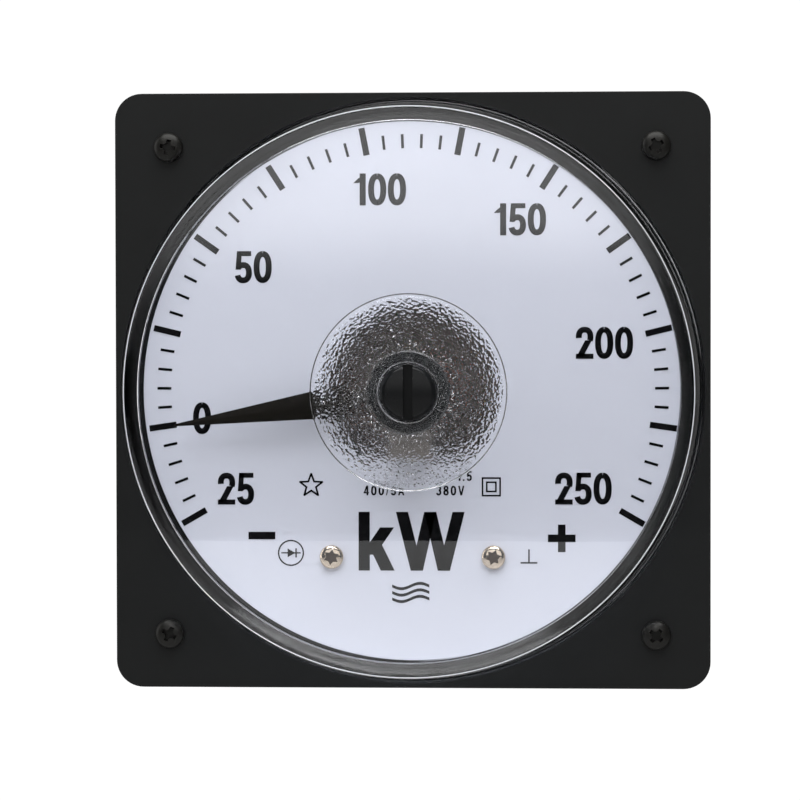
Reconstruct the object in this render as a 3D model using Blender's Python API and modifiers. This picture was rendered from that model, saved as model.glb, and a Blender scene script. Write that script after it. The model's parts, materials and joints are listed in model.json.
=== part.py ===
"""Square panel meter with a 240 degree dial, modelled as its separate pieces.

The drafting frame has X to the right, Y up and Z towards the viewer. Its origin is on the
dial's axis, on the rear face of the flange that meets the panel. One empty turns the frame
so that the meter faces -Y with +Z up. Angles on the dial are degrees clockwise from its top.
"""

import math

import bmesh
import bpy
from mathutils import Vector

MM = 0.001

# Gaps
GAP = 0.3 * MM                  # between pieces that rest on or fit in each other
ROOM = 0.5 * MM                 # round the chassis in the case

# Square front
FLANGE_SIDE = 110 * MM
FLANGE_CORNER = 5 * MM
FLANGE_THICKNESS = 3.5 * MM
FRAME_THICKNESS = 3.7 * MM
FRAME_RIM = 1.0 * MM            # frame left beside the round opening, at mid-side
STUD_INSET = 10 * MM            # corner screws and studs, in from each edge

# Case barrel
PANEL_LAP = 5.5 * MM            # flange beyond the barrel at mid-side
BARREL_WALL = 2.5 * MM
BARREL_DEPTH = 64 * MM
REAR_EDGE = 1.5 * MM
PILLAR_RADIUS = 4 * MM          # inner pillars that carry the chassis

# Clear cover
COVER_HEIGHT = 20.5 * MM        # front face above the panel
COVER_WALL = 2.5 * MM
COVER_DRAFT = 1.6 * MM
COVER_EDGE = 0.6 * MM
COVER_INNER_EDGE = 1.2 * MM
PEBBLE_RADIUS = 17.9 * MM       # pebbled disc on the inner face
PEBBLE_STEP = 0.7 * MM
HUB_WALL = 2.0 * MM             # raised ring round the zero adjuster
HUB_RISE = 0.6 * MM
LUG_REACH = 3.5 * MM            # corner lugs under the frame
LUG_WIDTH = 12 * MM
LUG_THICKNESS = 1.7 * MM
GASKET_WIDTH = 2.0 * MM
GASKET_THICKNESS = 1.2 * MM

# Dial and chassis
DIAL_THICKNESS = 0.8 * MM
DIAL_FRONT = 5.2 * MM
DIAL_ROOM = 1.2 * MM            # between the dial's edge and the cover's wall
WINDOW_RADIUS = 16 * MM         # middle opening in dial and chassis
WINDOW_CHORD = 12.6 * MM        # its flat lower side, below the axis
CHASSIS_THICKNESS = 1.2 * MM
CHASSIS_FRONT = 1.6 * MM
DIAL_SCREW_X = 15 * MM
DIAL_SCREW_DROP = 30.8 * MM
POST_RADIUS = 2.6 * MM

# Magnet system
CORE_INNER = 9 * MM
CORE_OUTER = 14 * MM
AIR_GAP = 2 * MM
YOKE_WIDTH = 6 * MM
POLE_FRONT = -2.8 * MM
POLE_DEPTH = 10 * MM
TAIL_WIDTH = 10 * MM
TAIL_END = 17 * MM              # core tail, down to the magnet
MAGNET_WIDTH = 12 * MM
MAGNET_HEIGHT = 10.9 * MM
MAGNET_SIDE_ROOM = 2 * MM
LEG_WIDTH = 6 * MM
BAR_HEIGHT = 4.5 * MM
SLIT_WIDTH = 1.6 * MM
YOKE_SCREW_X = 10 * MM

# Bridges and pivots
STRAP_THICKNESS = 1.8 * MM
STRAP_WIDTH = 8 * MM
RISER_THICKNESS = 2.5 * MM
FOOT_LENGTH = 3.7 * MM
FOOT_THICKNESS = 1.5 * MM
REAR_STRAP_DROP = 5.1 * MM      # rear strap behind the core's foot
JEWEL_RADIUS = 1.5 * MM
JEWEL_PROUD = 1.8 * MM          # jewel screw in front of its strap
JEWEL_LENGTH = 4.1 * MM

# Moving element
REST_ANGLE = -98.18             # pointer at the scale's zero
SHAFT_RADIUS = 0.6 * MM
PIVOT_LENGTH = 1.0 * MM
POINTER_SHORT = 5.8 * MM        # from the pointer's tip to the dial's edge
POINTER_WIDTH = 5.0 * MM
POINTER_SHOULDER = 12.5 * MM    # radius where the spear begins
POINTER_TAPER = 19 * MM         # radius where it begins to taper
POINTER_TIP = 0.4 * MM
POINTER_THICKNESS = 0.5 * MM
ARM_WIDTH = 2.0 * MM
HUB_RADIUS = 2.0 * MM
COLLET_RADIUS = 1.3 * MM
TAIL_LENGTH = 7.8 * MM
WEIGHT_RADIUS = 2.4 * MM
WEIGHT_LENGTH = 8.12 * MM       # balances the coil and the pointer
COIL_WIRE = 0.8 * MM
COIL_WIDTH = 3.0 * MM
COIL_INNER = 6.8 * MM           # radius of the coil's inner side
COIL_AXIAL_ROOM = 0.6 * MM
COIL_ARM = 0.5 * MM

# Hairsprings
SPRING_WIDTH = 0.5 * MM
SPRING_STRIP = 0.2 * MM
SPRING_TURNS = 2.5
SPRING_OUTER = 5.45 * MM

# Zero adjuster
ADJUSTER_RADIUS = 5.2 * MM
ADJUSTER_HEAD = 1.7 * MM
ADJUSTER_DOME = 0.4 * MM
ADJUSTER_SLOT = 1.75 * MM
ADJUSTER_SLOT_DEPTH = 1.1 * MM
STEM_RADIUS = 2.5 * MM
DRIVER_RADIUS = 7.4 * MM
DRIVER_THICKNESS = 0.8 * MM
PIN_ORBIT = 5.0 * MM
PIN_RADIUS = 0.6 * MM
PIN_LENGTH = 2.0 * MM
LEVER_THICKNESS = 0.5 * MM
LEVER_REACH = 6.6 * MM

# Rear end
BOARD_WIDTH = 56 * MM
BOARD_HEIGHT = 36 * MM
BOARD_THICKNESS = 1.6 * MM
BOARD_STANDOFF = 2.6 * MM
TERMINAL_X = 15 * MM
TERMINAL_RADIUS = 2.5 * MM
TERMINAL_PROUD = 13 * MM
COLLAR_RADIUS = 6 * MM
COLLAR_HEIGHT = 2 * MM
NUT_FLATS = 8 * MM
NUT_HEIGHT = 3.2 * MM
WASHER_RADIUS = 5 * MM
WASHER_THICKNESS = 0.8 * MM
LEAD_RADIUS = 0.6 * MM

# Panel fixing
STUD_RADIUS = 2.5 * MM
STUD_LENGTH = 20 * MM
STUD_HEAD = 2.4 * MM
STUD_HEAD_FLATS = 7 * MM
PANEL_SPACE = 3 * MM            # room for the panel under the nuts
NUT_FLANGE = 1.0 * MM
NUT_FLANGE_RADIUS = 5.6 * MM

# Corner screws
FRAME_HEAD_RADIUS = 2.7 * MM
FRAME_HEAD_HEIGHT = 2.0 * MM
FRAME_SHANK = 1.25 * MM
SCREW_RADIUS = 1.0 * MM         # shank of every small screw
SCREW_HEAD_RADIUS = 2.2 * MM
SCREW_HEAD_HEIGHT = 1.3 * MM

# Facets on a full turn
WIDE = 60
MEDIUM = 24
NARROW = 12

# Worked out from the sizes above
HALF_SIDE = FLANGE_SIDE / 2
OPENING_RADIUS = HALF_SIDE - FRAME_RIM
COVER_RADIUS = OPENING_RADIUS - GAP
COVER_INNER = COVER_RADIUS - COVER_WALL
DIAL_RADIUS = COVER_INNER - DIAL_ROOM
BARREL_RADIUS = HALF_SIDE - PANEL_LAP
BARREL_INNER = BARREL_RADIUS - BARREL_WALL
STUD_XY = HALF_SIDE - STUD_INSET
FRAME_REAR = FLANGE_THICKNESS + GAP
FRAME_FRONT = FRAME_REAR + FRAME_THICKNESS
DIAL_REAR = DIAL_FRONT - DIAL_THICKNESS
CHASSIS_REAR = CHASSIS_FRONT - CHASSIS_THICKNESS
CHASSIS_RADIUS = BARREL_INNER - ROOM
PILLAR_X = BARREL_INNER - PILLAR_RADIUS
CHASSIS_SCREW_X = PILLAR_X - 1 * MM
POINTER_LENGTH = DIAL_RADIUS - POINTER_SHORT
SCREW_HOLE = SCREW_RADIUS + GAP

HUB_BORE = ADJUSTER_RADIUS + GAP
HUB_OUTER = HUB_BORE + HUB_WALL
COVER_CEILING = COVER_HEIGHT - COVER_WALL
PEBBLE_FACE = COVER_CEILING - PEBBLE_STEP
DRIVER_FRONT = PEBBLE_FACE - GAP
DRIVER_REAR = DRIVER_FRONT - DRIVER_THICKNESS
JEWEL_FRONT = DRIVER_REAR - GAP
STRAP_FRONT = JEWEL_FRONT - JEWEL_PROUD
STRAP_REAR = STRAP_FRONT - STRAP_THICKNESS
LEVER_REAR = STRAP_FRONT + GAP
JEWEL_REAR = JEWEL_FRONT - JEWEL_LENGTH
SHAFT_FRONT = JEWEL_REAR - GAP
SPRING_LEVEL = STRAP_REAR - 1.3 * MM
POINTER_LEVEL = SPRING_LEVEL - 1.7 * MM

YOKE_INNER = CORE_OUTER + AIR_GAP
YOKE_OUTER = YOKE_INNER + YOKE_WIDTH
POLE_REAR = POLE_FRONT - POLE_DEPTH
MAGNET_TOP = -TAIL_END - GAP
MAGNET_BOTTOM = MAGNET_TOP - MAGNET_HEIGHT
BAR_TOP = MAGNET_BOTTOM - GAP
BAR_BOTTOM = BAR_TOP - BAR_HEIGHT
LEG_INNER = MAGNET_WIDTH / 2 + MAGNET_SIDE_ROOM
LEG_OUTER = LEG_INNER + LEG_WIDTH
YOKE_SCREW_Y = BAR_TOP - BAR_HEIGHT / 2
RISER_INNER = TAIL_LENGTH + 2 * MM
RISER_OUTER = RISER_INNER + RISER_THICKNESS
FOOT_END = RISER_OUTER + FOOT_LENGTH
BRIDGE_SCREW_Y = -(RISER_OUTER + FOOT_END) / 2

COIL_FRONT = POLE_FRONT + COIL_AXIAL_ROOM + COIL_WIRE
COIL_REAR = POLE_REAR - COIL_AXIAL_ROOM - COIL_WIRE
COIL_OUTER = CORE_OUTER + AIR_GAP / 2 + COIL_WIRE / 2
REAR_FOOT_FACE = POLE_REAR - GAP - FOOT_THICKNESS
REAR_STRAP_FRONT = POLE_REAR - GAP - REAR_STRAP_DROP
REAR_STRAP_BACK = REAR_STRAP_FRONT - STRAP_THICKNESS
REAR_SPRING_LEVEL = REAR_STRAP_FRONT + 1.4 * MM
REAR_JEWEL_TIP = REAR_STRAP_FRONT + 0.3 * MM
SHAFT_REAR = REAR_JEWEL_TIP + GAP

REAR_FACE = -BARREL_DEPTH
REAR_INSIDE = REAR_FACE + BARREL_WALL
BOARD_REAR = REAR_INSIDE + BOARD_STANDOFF + GAP
BOARD_FRONT = BOARD_REAR + BOARD_THICKNESS
COLLAR_REAR = REAR_FACE - COLLAR_HEIGHT


# ---------------------------------------------------------------------------------------
# Outlines
# ---------------------------------------------------------------------------------------

def arc(radius, start, end, steps, centre=(0.0, 0.0)):
    """Points on an arc; angles in degrees anticlockwise from +X."""
    points = []
    for index in range(steps + 1):
        angle = math.radians(start + (end - start) * index / steps)
        points.append((centre[0] + radius * math.cos(angle), centre[1] + radius * math.sin(angle)))
    return points


def circle(radius, centre=(0.0, 0.0), steps=NARROW):
    """A full circle, its last point left off."""
    return arc(radius, 0, 360, steps, centre)[:-1]


def rectangle(left, bottom, right, top):
    """A rectangle's four corners."""
    return [(left, bottom), (right, bottom), (right, top), (left, top)]


def rounded_square(side, radius):
    """A square with round corners."""
    reach = side / 2 - radius
    points = []
    for start, (x, y) in zip((0, 90, 180, 270), ((1, 1), (-1, 1), (-1, -1), (1, -1))):
        points += arc(radius, start, start + 90, 6, (x * reach, y * reach))
    return points


def hexagon(flats, centre=(0.0, 0.0)):
    """A hexagon measured across its flats."""
    return circle(flats / math.sqrt(3), centre, 6)


def window_outline(chord):
    """The middle opening: a circle cut off flat below the axis."""
    low = math.degrees(math.asin(chord / WINDOW_RADIUS))
    return arc(WINDOW_RADIUS, -low, 180 + low, WIDE // 2)


def strap_outline(half_width, reach, drop):
    """A strap from a round end above the axis down to a square end."""
    return arc(half_width, 0, 180, 8, (0, reach - half_width)) + [(-half_width, -drop), (half_width, -drop)]


def pointer_outline():
    """The spear, its arm and the short tail, pointing up."""
    half_arm, half_width = ARM_WIDTH / 2, POINTER_WIDTH / 2
    neck = POINTER_SHOULDER - (half_width - half_arm)
    right = [(half_arm, -TAIL_LENGTH), (half_arm, neck), (half_width, POINTER_SHOULDER),
             (half_width, POINTER_TAPER), (POINTER_TIP / 2, POINTER_LENGTH)]
    return right + [(-x, y) for x, y in reversed(right)]


# ---------------------------------------------------------------------------------------
# Scene and materials
# ---------------------------------------------------------------------------------------

def clear_scene():
    """Remove whatever the file opened with."""
    for obj in list(bpy.data.objects):
        bpy.data.objects.remove(obj, do_unlink=True)


def collection(name):
    """A new collection in the scene."""
    made = bpy.data.collections.new(name)
    bpy.context.scene.collection.children.link(made)
    return made


def material(name, colour, roughness, metallic=0.0, alpha=1.0):
    """A plain Principled material; the colour is linear RGB."""
    made = bpy.data.materials.new(name)
    made.use_nodes = True
    shader = made.node_tree.nodes["Principled BSDF"]
    shader.inputs["Base Color"].default_value = (*colour, 1.0)
    shader.inputs["Roughness"].default_value = roughness
    shader.inputs["Metallic"].default_value = metallic
    shader.inputs["Alpha"].default_value = alpha
    return made


clear_scene()
METER = collection("panel_meter")
CUTTERS = collection("cutters")

BLACK_PLASTIC = material("black_plastic", (0.012, 0.013, 0.013), 0.55)
CLEAR_PLASTIC = material("clear_plastic", (0.9, 0.92, 0.93), 0.05, alpha=0.35)
RUBBER = material("rubber", (0.02, 0.02, 0.02), 0.8)
DIAL_WHITE = material("dial_white", (0.6, 0.6, 0.65), 0.5)
BLACK_STEEL = material("black_steel", (0.02, 0.02, 0.02), 0.35, 1.0)
ZINC = material("zinc", (0.55, 0.56, 0.58), 0.35, 1.0)
NICKEL = material("nickel", (0.7, 0.6, 0.48), 0.25, 1.0)
BRASS = material("brass", (0.6, 0.42, 0.16), 0.3, 1.0)
SOFT_IRON = material("soft_iron", (0.3, 0.3, 0.31), 0.45, 1.0)
MAGNET_GREY = material("magnet_grey", (0.16, 0.16, 0.17), 0.5, 1.0)
COPPER = material("copper", (0.55, 0.2, 0.08), 0.35, 1.0)
POINTER_BLACK = material("pointer_black", (0.01, 0.01, 0.012), 0.4)
ALUMINIUM = material("aluminium", (0.6, 0.6, 0.62), 0.35, 1.0)
BRONZE = material("bronze", (0.5, 0.28, 0.1), 0.3, 1.0)
BOARD_GREEN = material("board_green", (0.02, 0.12, 0.04), 0.45)
BLUE_PLASTIC = material("blue_plastic", (0.02, 0.08, 0.4), 0.4)
CERAMIC = material("ceramic", (0.5, 0.42, 0.28), 0.6)
RED_LEAD = material("red_lead", (0.5, 0.01, 0.01), 0.45)


# ---------------------------------------------------------------------------------------
# Making shapes
# ---------------------------------------------------------------------------------------

def adopt(name, mesh, finish, parent, group=METER):
    """A mesh object in its collection, placed under its parent."""
    obj = bpy.data.objects.new(name, mesh)
    group.objects.link(obj)
    obj.parent = parent
    if finish:
        mesh.materials.clear()
        mesh.materials.append(finish)
        mesh.shade_smooth()
        mesh.set_sharp_from_angle(angle=math.radians(35))
    return obj


def helper(mesh, parent):
    """A shape that is only cut away from, or joined to, a piece."""
    obj = adopt("tool", mesh, None, parent, CUTTERS)
    obj.hide_render = True
    obj.display_type = "WIRE"
    return obj


def combine(obj, mesh, operation):
    """Join a shape to a piece, or cut it away, with a Boolean modifier."""
    modifier = obj.modifiers.new(operation.lower(), "BOOLEAN")
    modifier.operation = operation
    modifier.solver = "EXACT"
    modifier.object = helper(mesh, obj.parent)


def join(obj, *meshes):
    """Join shapes to a piece."""
    for mesh in meshes:
        combine(obj, mesh, "UNION")


def cut(obj, *meshes):
    """Cut shapes out of a piece."""
    for mesh in meshes:
        combine(obj, mesh, "DIFFERENCE")


def evaluated_mesh(obj, weld=0.0):
    """The object's shape as the viewport shows it, as a new mesh."""
    bpy.context.view_layer.update()
    graph = bpy.context.evaluated_depsgraph_get()
    mesh = bpy.data.meshes.new_from_object(obj.evaluated_get(graph))
    if weld:
        work = bmesh.new()
        work.from_mesh(mesh)
        bmesh.ops.remove_doubles(work, verts=work.verts, dist=weld)
        work.to_mesh(mesh)
        work.free()
    return mesh


def flat(outlines, bottom, top):
    """A plate between two heights: its edge first, then its holes."""
    curve = bpy.data.curves.new("outline", "CURVE")
    curve.dimensions = "2D"
    curve.fill_mode = "BOTH"
    curve.extrude = (top - bottom) / 2
    for outline in outlines:
        spline = curve.splines.new("POLY")
        spline.points.add(len(outline) - 1)
        for point, (x, y) in zip(spline.points, outline):
            point.co = (x, y, 0.0, 1.0)
        spline.use_cyclic_u = True
    drawn = bpy.data.objects.new("outline", curve)
    METER.objects.link(drawn)
    mesh = evaluated_mesh(drawn, weld=1e-6)
    bpy.data.objects.remove(drawn)
    for vertex in mesh.vertices:
        vertex.co.z += (bottom + top) / 2
    return mesh


def box(low, high):
    """A box between two corners."""
    work = bmesh.new()
    bmesh.ops.create_cube(work, size=1.0)
    for vertex in work.verts:
        vertex.co = Vector([(a + b) / 2 + c * (b - a) for a, b, c in zip(low, high, vertex.co)])
    mesh = bpy.data.meshes.new("box")
    work.to_mesh(mesh)
    work.free()
    return mesh


def rod(radius, bottom, top, centre=(0.0, 0.0), steps=NARROW):
    """A cylinder along Z."""
    work = bmesh.new()
    bmesh.ops.create_cone(work, cap_ends=True, segments=steps, radius1=radius, radius2=radius,
                          depth=top - bottom)
    for vertex in work.verts:
        vertex.co += Vector((centre[0], centre[1], (bottom + top) / 2))
    mesh = bpy.data.meshes.new("rod")
    work.to_mesh(mesh)
    work.free()
    return mesh


def turned(profile, steps=MEDIUM, closed=False):
    """A turned shape about Z; the profile runs down its outer side."""
    mesh = bpy.data.meshes.new("profile")
    count = len(profile)
    edges = [(index, index + 1) for index in range(count - 1)]
    if closed:
        edges.append((count - 1, 0))
    mesh.from_pydata([(radius, 0.0, height) for radius, height in profile], edges, [])
    obj = bpy.data.objects.new("profile", mesh)
    METER.objects.link(obj)
    screw = obj.modifiers.new("turn", "SCREW")
    screw.steps = steps
    screw.render_steps = steps
    screw.use_merge_vertices = True
    screw.merge_threshold = 1e-5
    made = evaluated_mesh(obj)
    bpy.data.objects.remove(obj)
    return made


def ring(outer, inner, bottom, top, steps=MEDIUM):
    """A flat ring about the axis."""
    return turned([(outer, top), (outer, bottom), (inner, bottom), (inner, top)], steps, closed=True)


def copies(stem, template, finish, parent, places):
    """Separate objects that share one template's shape, at (x, y, z, turn about X)."""
    mesh = evaluated_mesh(template)
    cutters = [modifier.object for modifier in template.modifiers]
    for obj in [template, *cutters]:
        bpy.data.objects.remove(obj, do_unlink=True)
    for number, (x, y, z, flip) in enumerate(places, 1):
        obj = adopt(f"{stem}_{number}", mesh, finish, parent)
        obj.location = (x, y, z)
        obj.rotation_euler = (math.radians(flip), 0, 0)


def pan_screw(head_radius, head_height, shank_radius, length, parent, cross=True):
    """A pan-head screw standing on Z = 0 with its shank below."""
    crown = [(0.0, head_height)]
    crown += [(head_radius * math.sin(math.radians(angle)),
               head_height * (0.45 + 0.55 * math.cos(math.radians(angle)))) for angle in (30, 60, 90)]
    tip = shank_radius * 0.6
    profile = crown + [(head_radius, 0.0), (shank_radius, 0.0), (shank_radius, -length + tip),
                       (tip, -length), (0.0, -length)]
    screw = adopt("template", turned(profile, NARROW), None, parent)
    reach = head_radius * (0.62 if cross else 1.2)
    half = head_radius * 0.13
    floor, ceiling = head_height * 0.45, head_height * 1.5
    cut(screw, box((-reach, -half, floor), (reach, half, ceiling)))
    if cross:
        cut(screw, box((-half, -reach, floor), (half, reach, ceiling)))
    return screw


def spiral(level, inner, outer, turns, start):
    """A hairspring: a flat strip wound in its own plane, from its collet outwards."""
    count = round(turns * 16)
    curve = bpy.data.curves.new("spiral", "CURVE")
    curve.dimensions = "3D"
    curve.extrude = SPRING_WIDTH / 2
    spline = curve.splines.new("POLY")
    spline.points.add(count)
    for index, point in enumerate(spline.points):
        share = index / count
        angle = math.radians(start + 360 * turns * share)
        radius = inner + (outer - inner) * share
        point.co = (radius * math.sin(angle), radius * math.cos(angle), level, 1.0)
        point.tilt = 0.0
    drawn = bpy.data.objects.new("spiral", curve)
    METER.objects.link(drawn)
    ribbon = evaluated_mesh(drawn, weld=1e-6)
    bpy.data.objects.remove(drawn)
    return ribbon


def thicken(obj, thickness):
    """Give an open strip its thickness."""
    solid = obj.modifiers.new("thickness", "SOLIDIFY")
    solid.thickness = thickness
    solid.offset = 0.0


def smooth_route(route, pieces):
    """Points along a smooth curve through the route's own points."""
    points = [Vector(point) for point in route]
    points = [2 * points[0] - points[1], *points, 2 * points[-1] - points[-2]]
    line = []
    for before, start, end, after in zip(points, points[1:], points[2:], points[3:]):
        for index in range(pieces):
            t = index / pieces
            line.append(0.5 * (2 * start + (end - before) * t
                               + (2 * before - 5 * start + 4 * end - after) * t ** 2
                               + (3 * start - before - 3 * end + after) * t ** 3))
    return line + [points[-2]]


def lead(name, route, finish, parent):
    """An insulated lead along its route."""
    curve = bpy.data.curves.new(name, "CURVE")
    curve.dimensions = "3D"
    curve.bevel_depth = LEAD_RADIUS
    curve.bevel_resolution = 2
    curve.use_fill_caps = True
    spline = curve.splines.new("POLY")
    line = smooth_route(route, 4)
    spline.points.add(len(line) - 1)
    for point, place in zip(spline.points, line):
        point.co = (*place, 1.0)
    curve.materials.append(finish)
    obj = bpy.data.objects.new(name, curve)
    METER.objects.link(obj)
    obj.parent = parent
    return obj


# ---------------------------------------------------------------------------------------
# Case and front
# ---------------------------------------------------------------------------------------

def corners():
    """The four corner positions of the screws and studs."""
    return [(x * STUD_XY, y * STUD_XY) for x, y in ((-1, 1), (1, 1), (-1, -1), (1, -1))]


def make_case(parent):
    """Flange, barrel, rear wall, chassis pillars and terminal collars."""
    stud_hole = STUD_RADIUS + GAP
    holes = [circle(stud_hole, corner) for corner in corners()]
    flange = flat([rounded_square(FLANGE_SIDE, FLANGE_CORNER), *holes], 0.0, FLANGE_THICKNESS)
    case = adopt("rear_case", flange, BLACK_PLASTIC, parent)
    sink = FLANGE_THICKNESS / 2
    edge = REAR_EDGE
    barrel = [(0.0, sink), (BARREL_RADIUS, sink)]
    barrel += arc(edge, 0, -90, 2, (BARREL_RADIUS - edge, REAR_FACE + edge)) + [(0.0, REAR_FACE)]
    join(case, turned(barrel, WIDE))
    cut(case, rod(BARREL_INNER, REAR_INSIDE, FLANGE_THICKNESS + MM, steps=WIDE))
    for side in (-1, 1):
        join(case, rod(PILLAR_RADIUS + BARREL_WALL / 4, REAR_INSIDE - BARREL_WALL / 2, CHASSIS_REAR - GAP,
                       (side * PILLAR_X, 0)))
        join(case, rod(COLLAR_RADIUS, COLLAR_REAR, REAR_INSIDE + BOARD_STANDOFF, (side * TERMINAL_X, 0),
                       MEDIUM))
    for side in (-1, 1):
        cut(case, rod(TERMINAL_RADIUS + GAP, COLLAR_REAR - MM, REAR_INSIDE + BOARD_STANDOFF + MM,
                      (side * TERMINAL_X, 0)))
        cut(case, rod(SCREW_HOLE, CHASSIS_REAR - 9 * MM, CHASSIS_REAR, (side * CHASSIS_SCREW_X, 0)))
    groove_outer = COVER_RADIUS - (COVER_WALL - GASKET_WIDTH) / 2 + GAP
    groove_inner = groove_outer - GASKET_WIDTH - 2 * GAP
    groove_floor = FLANGE_THICKNESS - GASKET_THICKNESS - GAP
    cut(case, ring(groove_outer, groove_inner, groove_floor, FLANGE_THICKNESS + MM, WIDE))
    for corner in corners():
        cut(case, flat([hexagon(STUD_HEAD_FLATS + 2 * GAP, corner)], FLANGE_THICKNESS - STUD_HEAD - GAP,
                       FLANGE_THICKNESS + MM))
    gasket = ring(groove_outer - GAP, groove_inner + GAP, groove_floor + GAP, FLANGE_THICKNESS, WIDE)
    adopt("cover_gasket", gasket, RUBBER, parent)


def make_frame(parent):
    """The square front frame that clamps the cover."""
    holes = [circle(FRAME_SHANK + GAP, corner) for corner in corners()]
    plate = flat([rounded_square(FLANGE_SIDE, FLANGE_CORNER), circle(OPENING_RADIUS, steps=WIDE), *holes],
                 FRAME_REAR, FRAME_FRONT)
    frame = adopt("front_frame", plate, BLACK_PLASTIC, parent)
    for turn in (45, 135, 225, 315):
        cut(frame, lug(turn, GAP))
    screw = pan_screw(FRAME_HEAD_RADIUS, FRAME_HEAD_HEIGHT, FRAME_SHANK,
                      FRAME_THICKNESS + 5 * MM, parent)
    copies("frame_screw", screw, BLACK_STEEL, parent,
           [(x, y, FRAME_FRONT + GAP, 0) for x, y in corners()])


def lug(turn, room):
    """One corner lug of the cover, or with room its pocket in the frame."""
    low = FRAME_REAR - (MM if room else 0.0)
    mesh = box((COVER_RADIUS - COVER_WALL / 2, -LUG_WIDTH / 2 - room, low),
               (COVER_RADIUS + LUG_REACH + room, LUG_WIDTH / 2 + room, FRAME_REAR + LUG_THICKNESS + room))
    angle = math.radians(turn)
    for vertex in mesh.vertices:
        x, y, z = vertex.co
        vertex.co = (x * math.cos(angle) - y * math.sin(angle), x * math.sin(angle) + y * math.cos(angle), z)
    return mesh


def make_cover(parent):
    """The clear cup with its pebbled disc and adjuster hub."""
    top = COVER_RADIUS - COVER_DRAFT
    outer = [(HUB_BORE, COVER_HEIGHT + HUB_RISE), (HUB_OUTER, COVER_HEIGHT + HUB_RISE),
             (HUB_OUTER, COVER_HEIGHT)]
    outer += arc(COVER_EDGE, 90, 0, 4, (top - COVER_EDGE, COVER_HEIGHT - COVER_EDGE))
    outer += [(COVER_RADIUS, FRAME_REAR), (COVER_INNER, FRAME_REAR)]
    wall = COVER_INNER - COVER_DRAFT
    inner = arc(COVER_INNER_EDGE, 0, 90, 3, (wall - COVER_INNER_EDGE, COVER_CEILING - COVER_INNER_EDGE))
    inner += [(PEBBLE_RADIUS, COVER_CEILING), (PEBBLE_RADIUS, PEBBLE_FACE), (STEM_RADIUS + GAP, PEBBLE_FACE)]
    ledge = COVER_HEIGHT + HUB_RISE - 2.5 * MM
    inner += [(STEM_RADIUS + GAP, ledge), (HUB_BORE, ledge)]
    cover = adopt("clear_cover", turned(outer + inner, WIDE, closed=True), CLEAR_PLASTIC, parent)
    for turn in (45, 135, 225, 315):
        join(cover, lug(turn, 0.0))


def make_fixings(parent):
    """Studs in the flange with their flanged nuts."""
    stud = adopt("template", flat([hexagon(STUD_HEAD_FLATS)], FLANGE_THICKNESS - STUD_HEAD,
                                  FLANGE_THICKNESS), None, parent)
    join(stud, rod(STUD_RADIUS, -STUD_LENGTH, FLANGE_THICKNESS - STUD_HEAD / 2))
    cut(stud, rod(FRAME_SHANK + GAP, FLANGE_THICKNESS - 6 * MM, FLANGE_THICKNESS + MM))
    copies("mounting_stud", stud, ZINC, parent, [(x, y, 0, 0) for x, y in corners()])
    bore = STUD_RADIUS + GAP
    flange_front = -PANEL_SPACE
    flange_rear = flange_front - NUT_FLANGE
    nut = adopt("template", flat([hexagon(NUT_FLATS), circle(bore)], flange_rear - NUT_HEIGHT,
                                 flange_rear + NUT_FLANGE / 2), None, parent)
    join(nut, ring(NUT_FLANGE_RADIUS, bore, flange_rear, flange_front))
    copies("stud_nut", nut, ZINC, parent, [(x, y, 0, 0) for x, y in corners()])


# ---------------------------------------------------------------------------------------
# Dial and chassis
# ---------------------------------------------------------------------------------------

def make_dial(parent):
    """The dial plate, the chassis behind it and their screws."""
    posts = [(side * DIAL_SCREW_X, -DIAL_SCREW_DROP) for side in (-1, 1)]
    yoke_screws = [(side * YOKE_SCREW_X, YOKE_SCREW_Y) for side in (-1, 1)]
    chassis_screws = [(side * CHASSIS_SCREW_X, 0.0) for side in (-1, 1)]
    dial = flat([circle(DIAL_RADIUS, steps=WIDE), window_outline(WINDOW_CHORD),
                 *[circle(SCREW_HOLE, post) for post in posts]], DIAL_REAR, DIAL_FRONT)
    adopt("dial_plate", dial, DIAL_WHITE, parent)
    plate = flat([circle(CHASSIS_RADIUS, steps=WIDE), window_outline(WINDOW_CHORD),
                  *[circle(SCREW_HOLE, place) for place in chassis_screws]],
                 CHASSIS_REAR, CHASSIS_FRONT)
    chassis = adopt("chassis_plate", plate, ZINC, parent)
    middle = (CHASSIS_FRONT + CHASSIS_REAR) / 2
    for post in posts:
        join(chassis, rod(POST_RADIUS, middle, DIAL_REAR - GAP, post))
    for place in yoke_screws:
        join(chassis, rod(POST_RADIUS, POLE_FRONT + GAP, middle, place))
    for place in posts + yoke_screws:
        cut(chassis, rod(SCREW_HOLE, POLE_FRONT - MM, DIAL_FRONT, place, 12))
    screw = pan_screw(SCREW_HEAD_RADIUS, SCREW_HEAD_HEIGHT, SCREW_RADIUS, 5.6 * MM, parent)
    copies("dial_screw", screw, NICKEL, parent, [(x, y, DIAL_FRONT + GAP, 0) for x, y in posts])
    screw = pan_screw(SCREW_HEAD_RADIUS, SCREW_HEAD_HEIGHT, SCREW_RADIUS, 8 * MM, parent, cross=False)
    copies("chassis_screw", screw, ZINC, parent,
           [(x, y, CHASSIS_FRONT + GAP, 0) for x, y in chassis_screws])
    screw = pan_screw(SCREW_HEAD_RADIUS, SCREW_HEAD_HEIGHT, SCREW_RADIUS, 10 * MM, parent, cross=False)
    copies("yoke_screw", screw, ZINC, parent, [(x, y, CHASSIS_FRONT + GAP, 0) for x, y in yoke_screws])


# ---------------------------------------------------------------------------------------
# Movement
# ---------------------------------------------------------------------------------------

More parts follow.
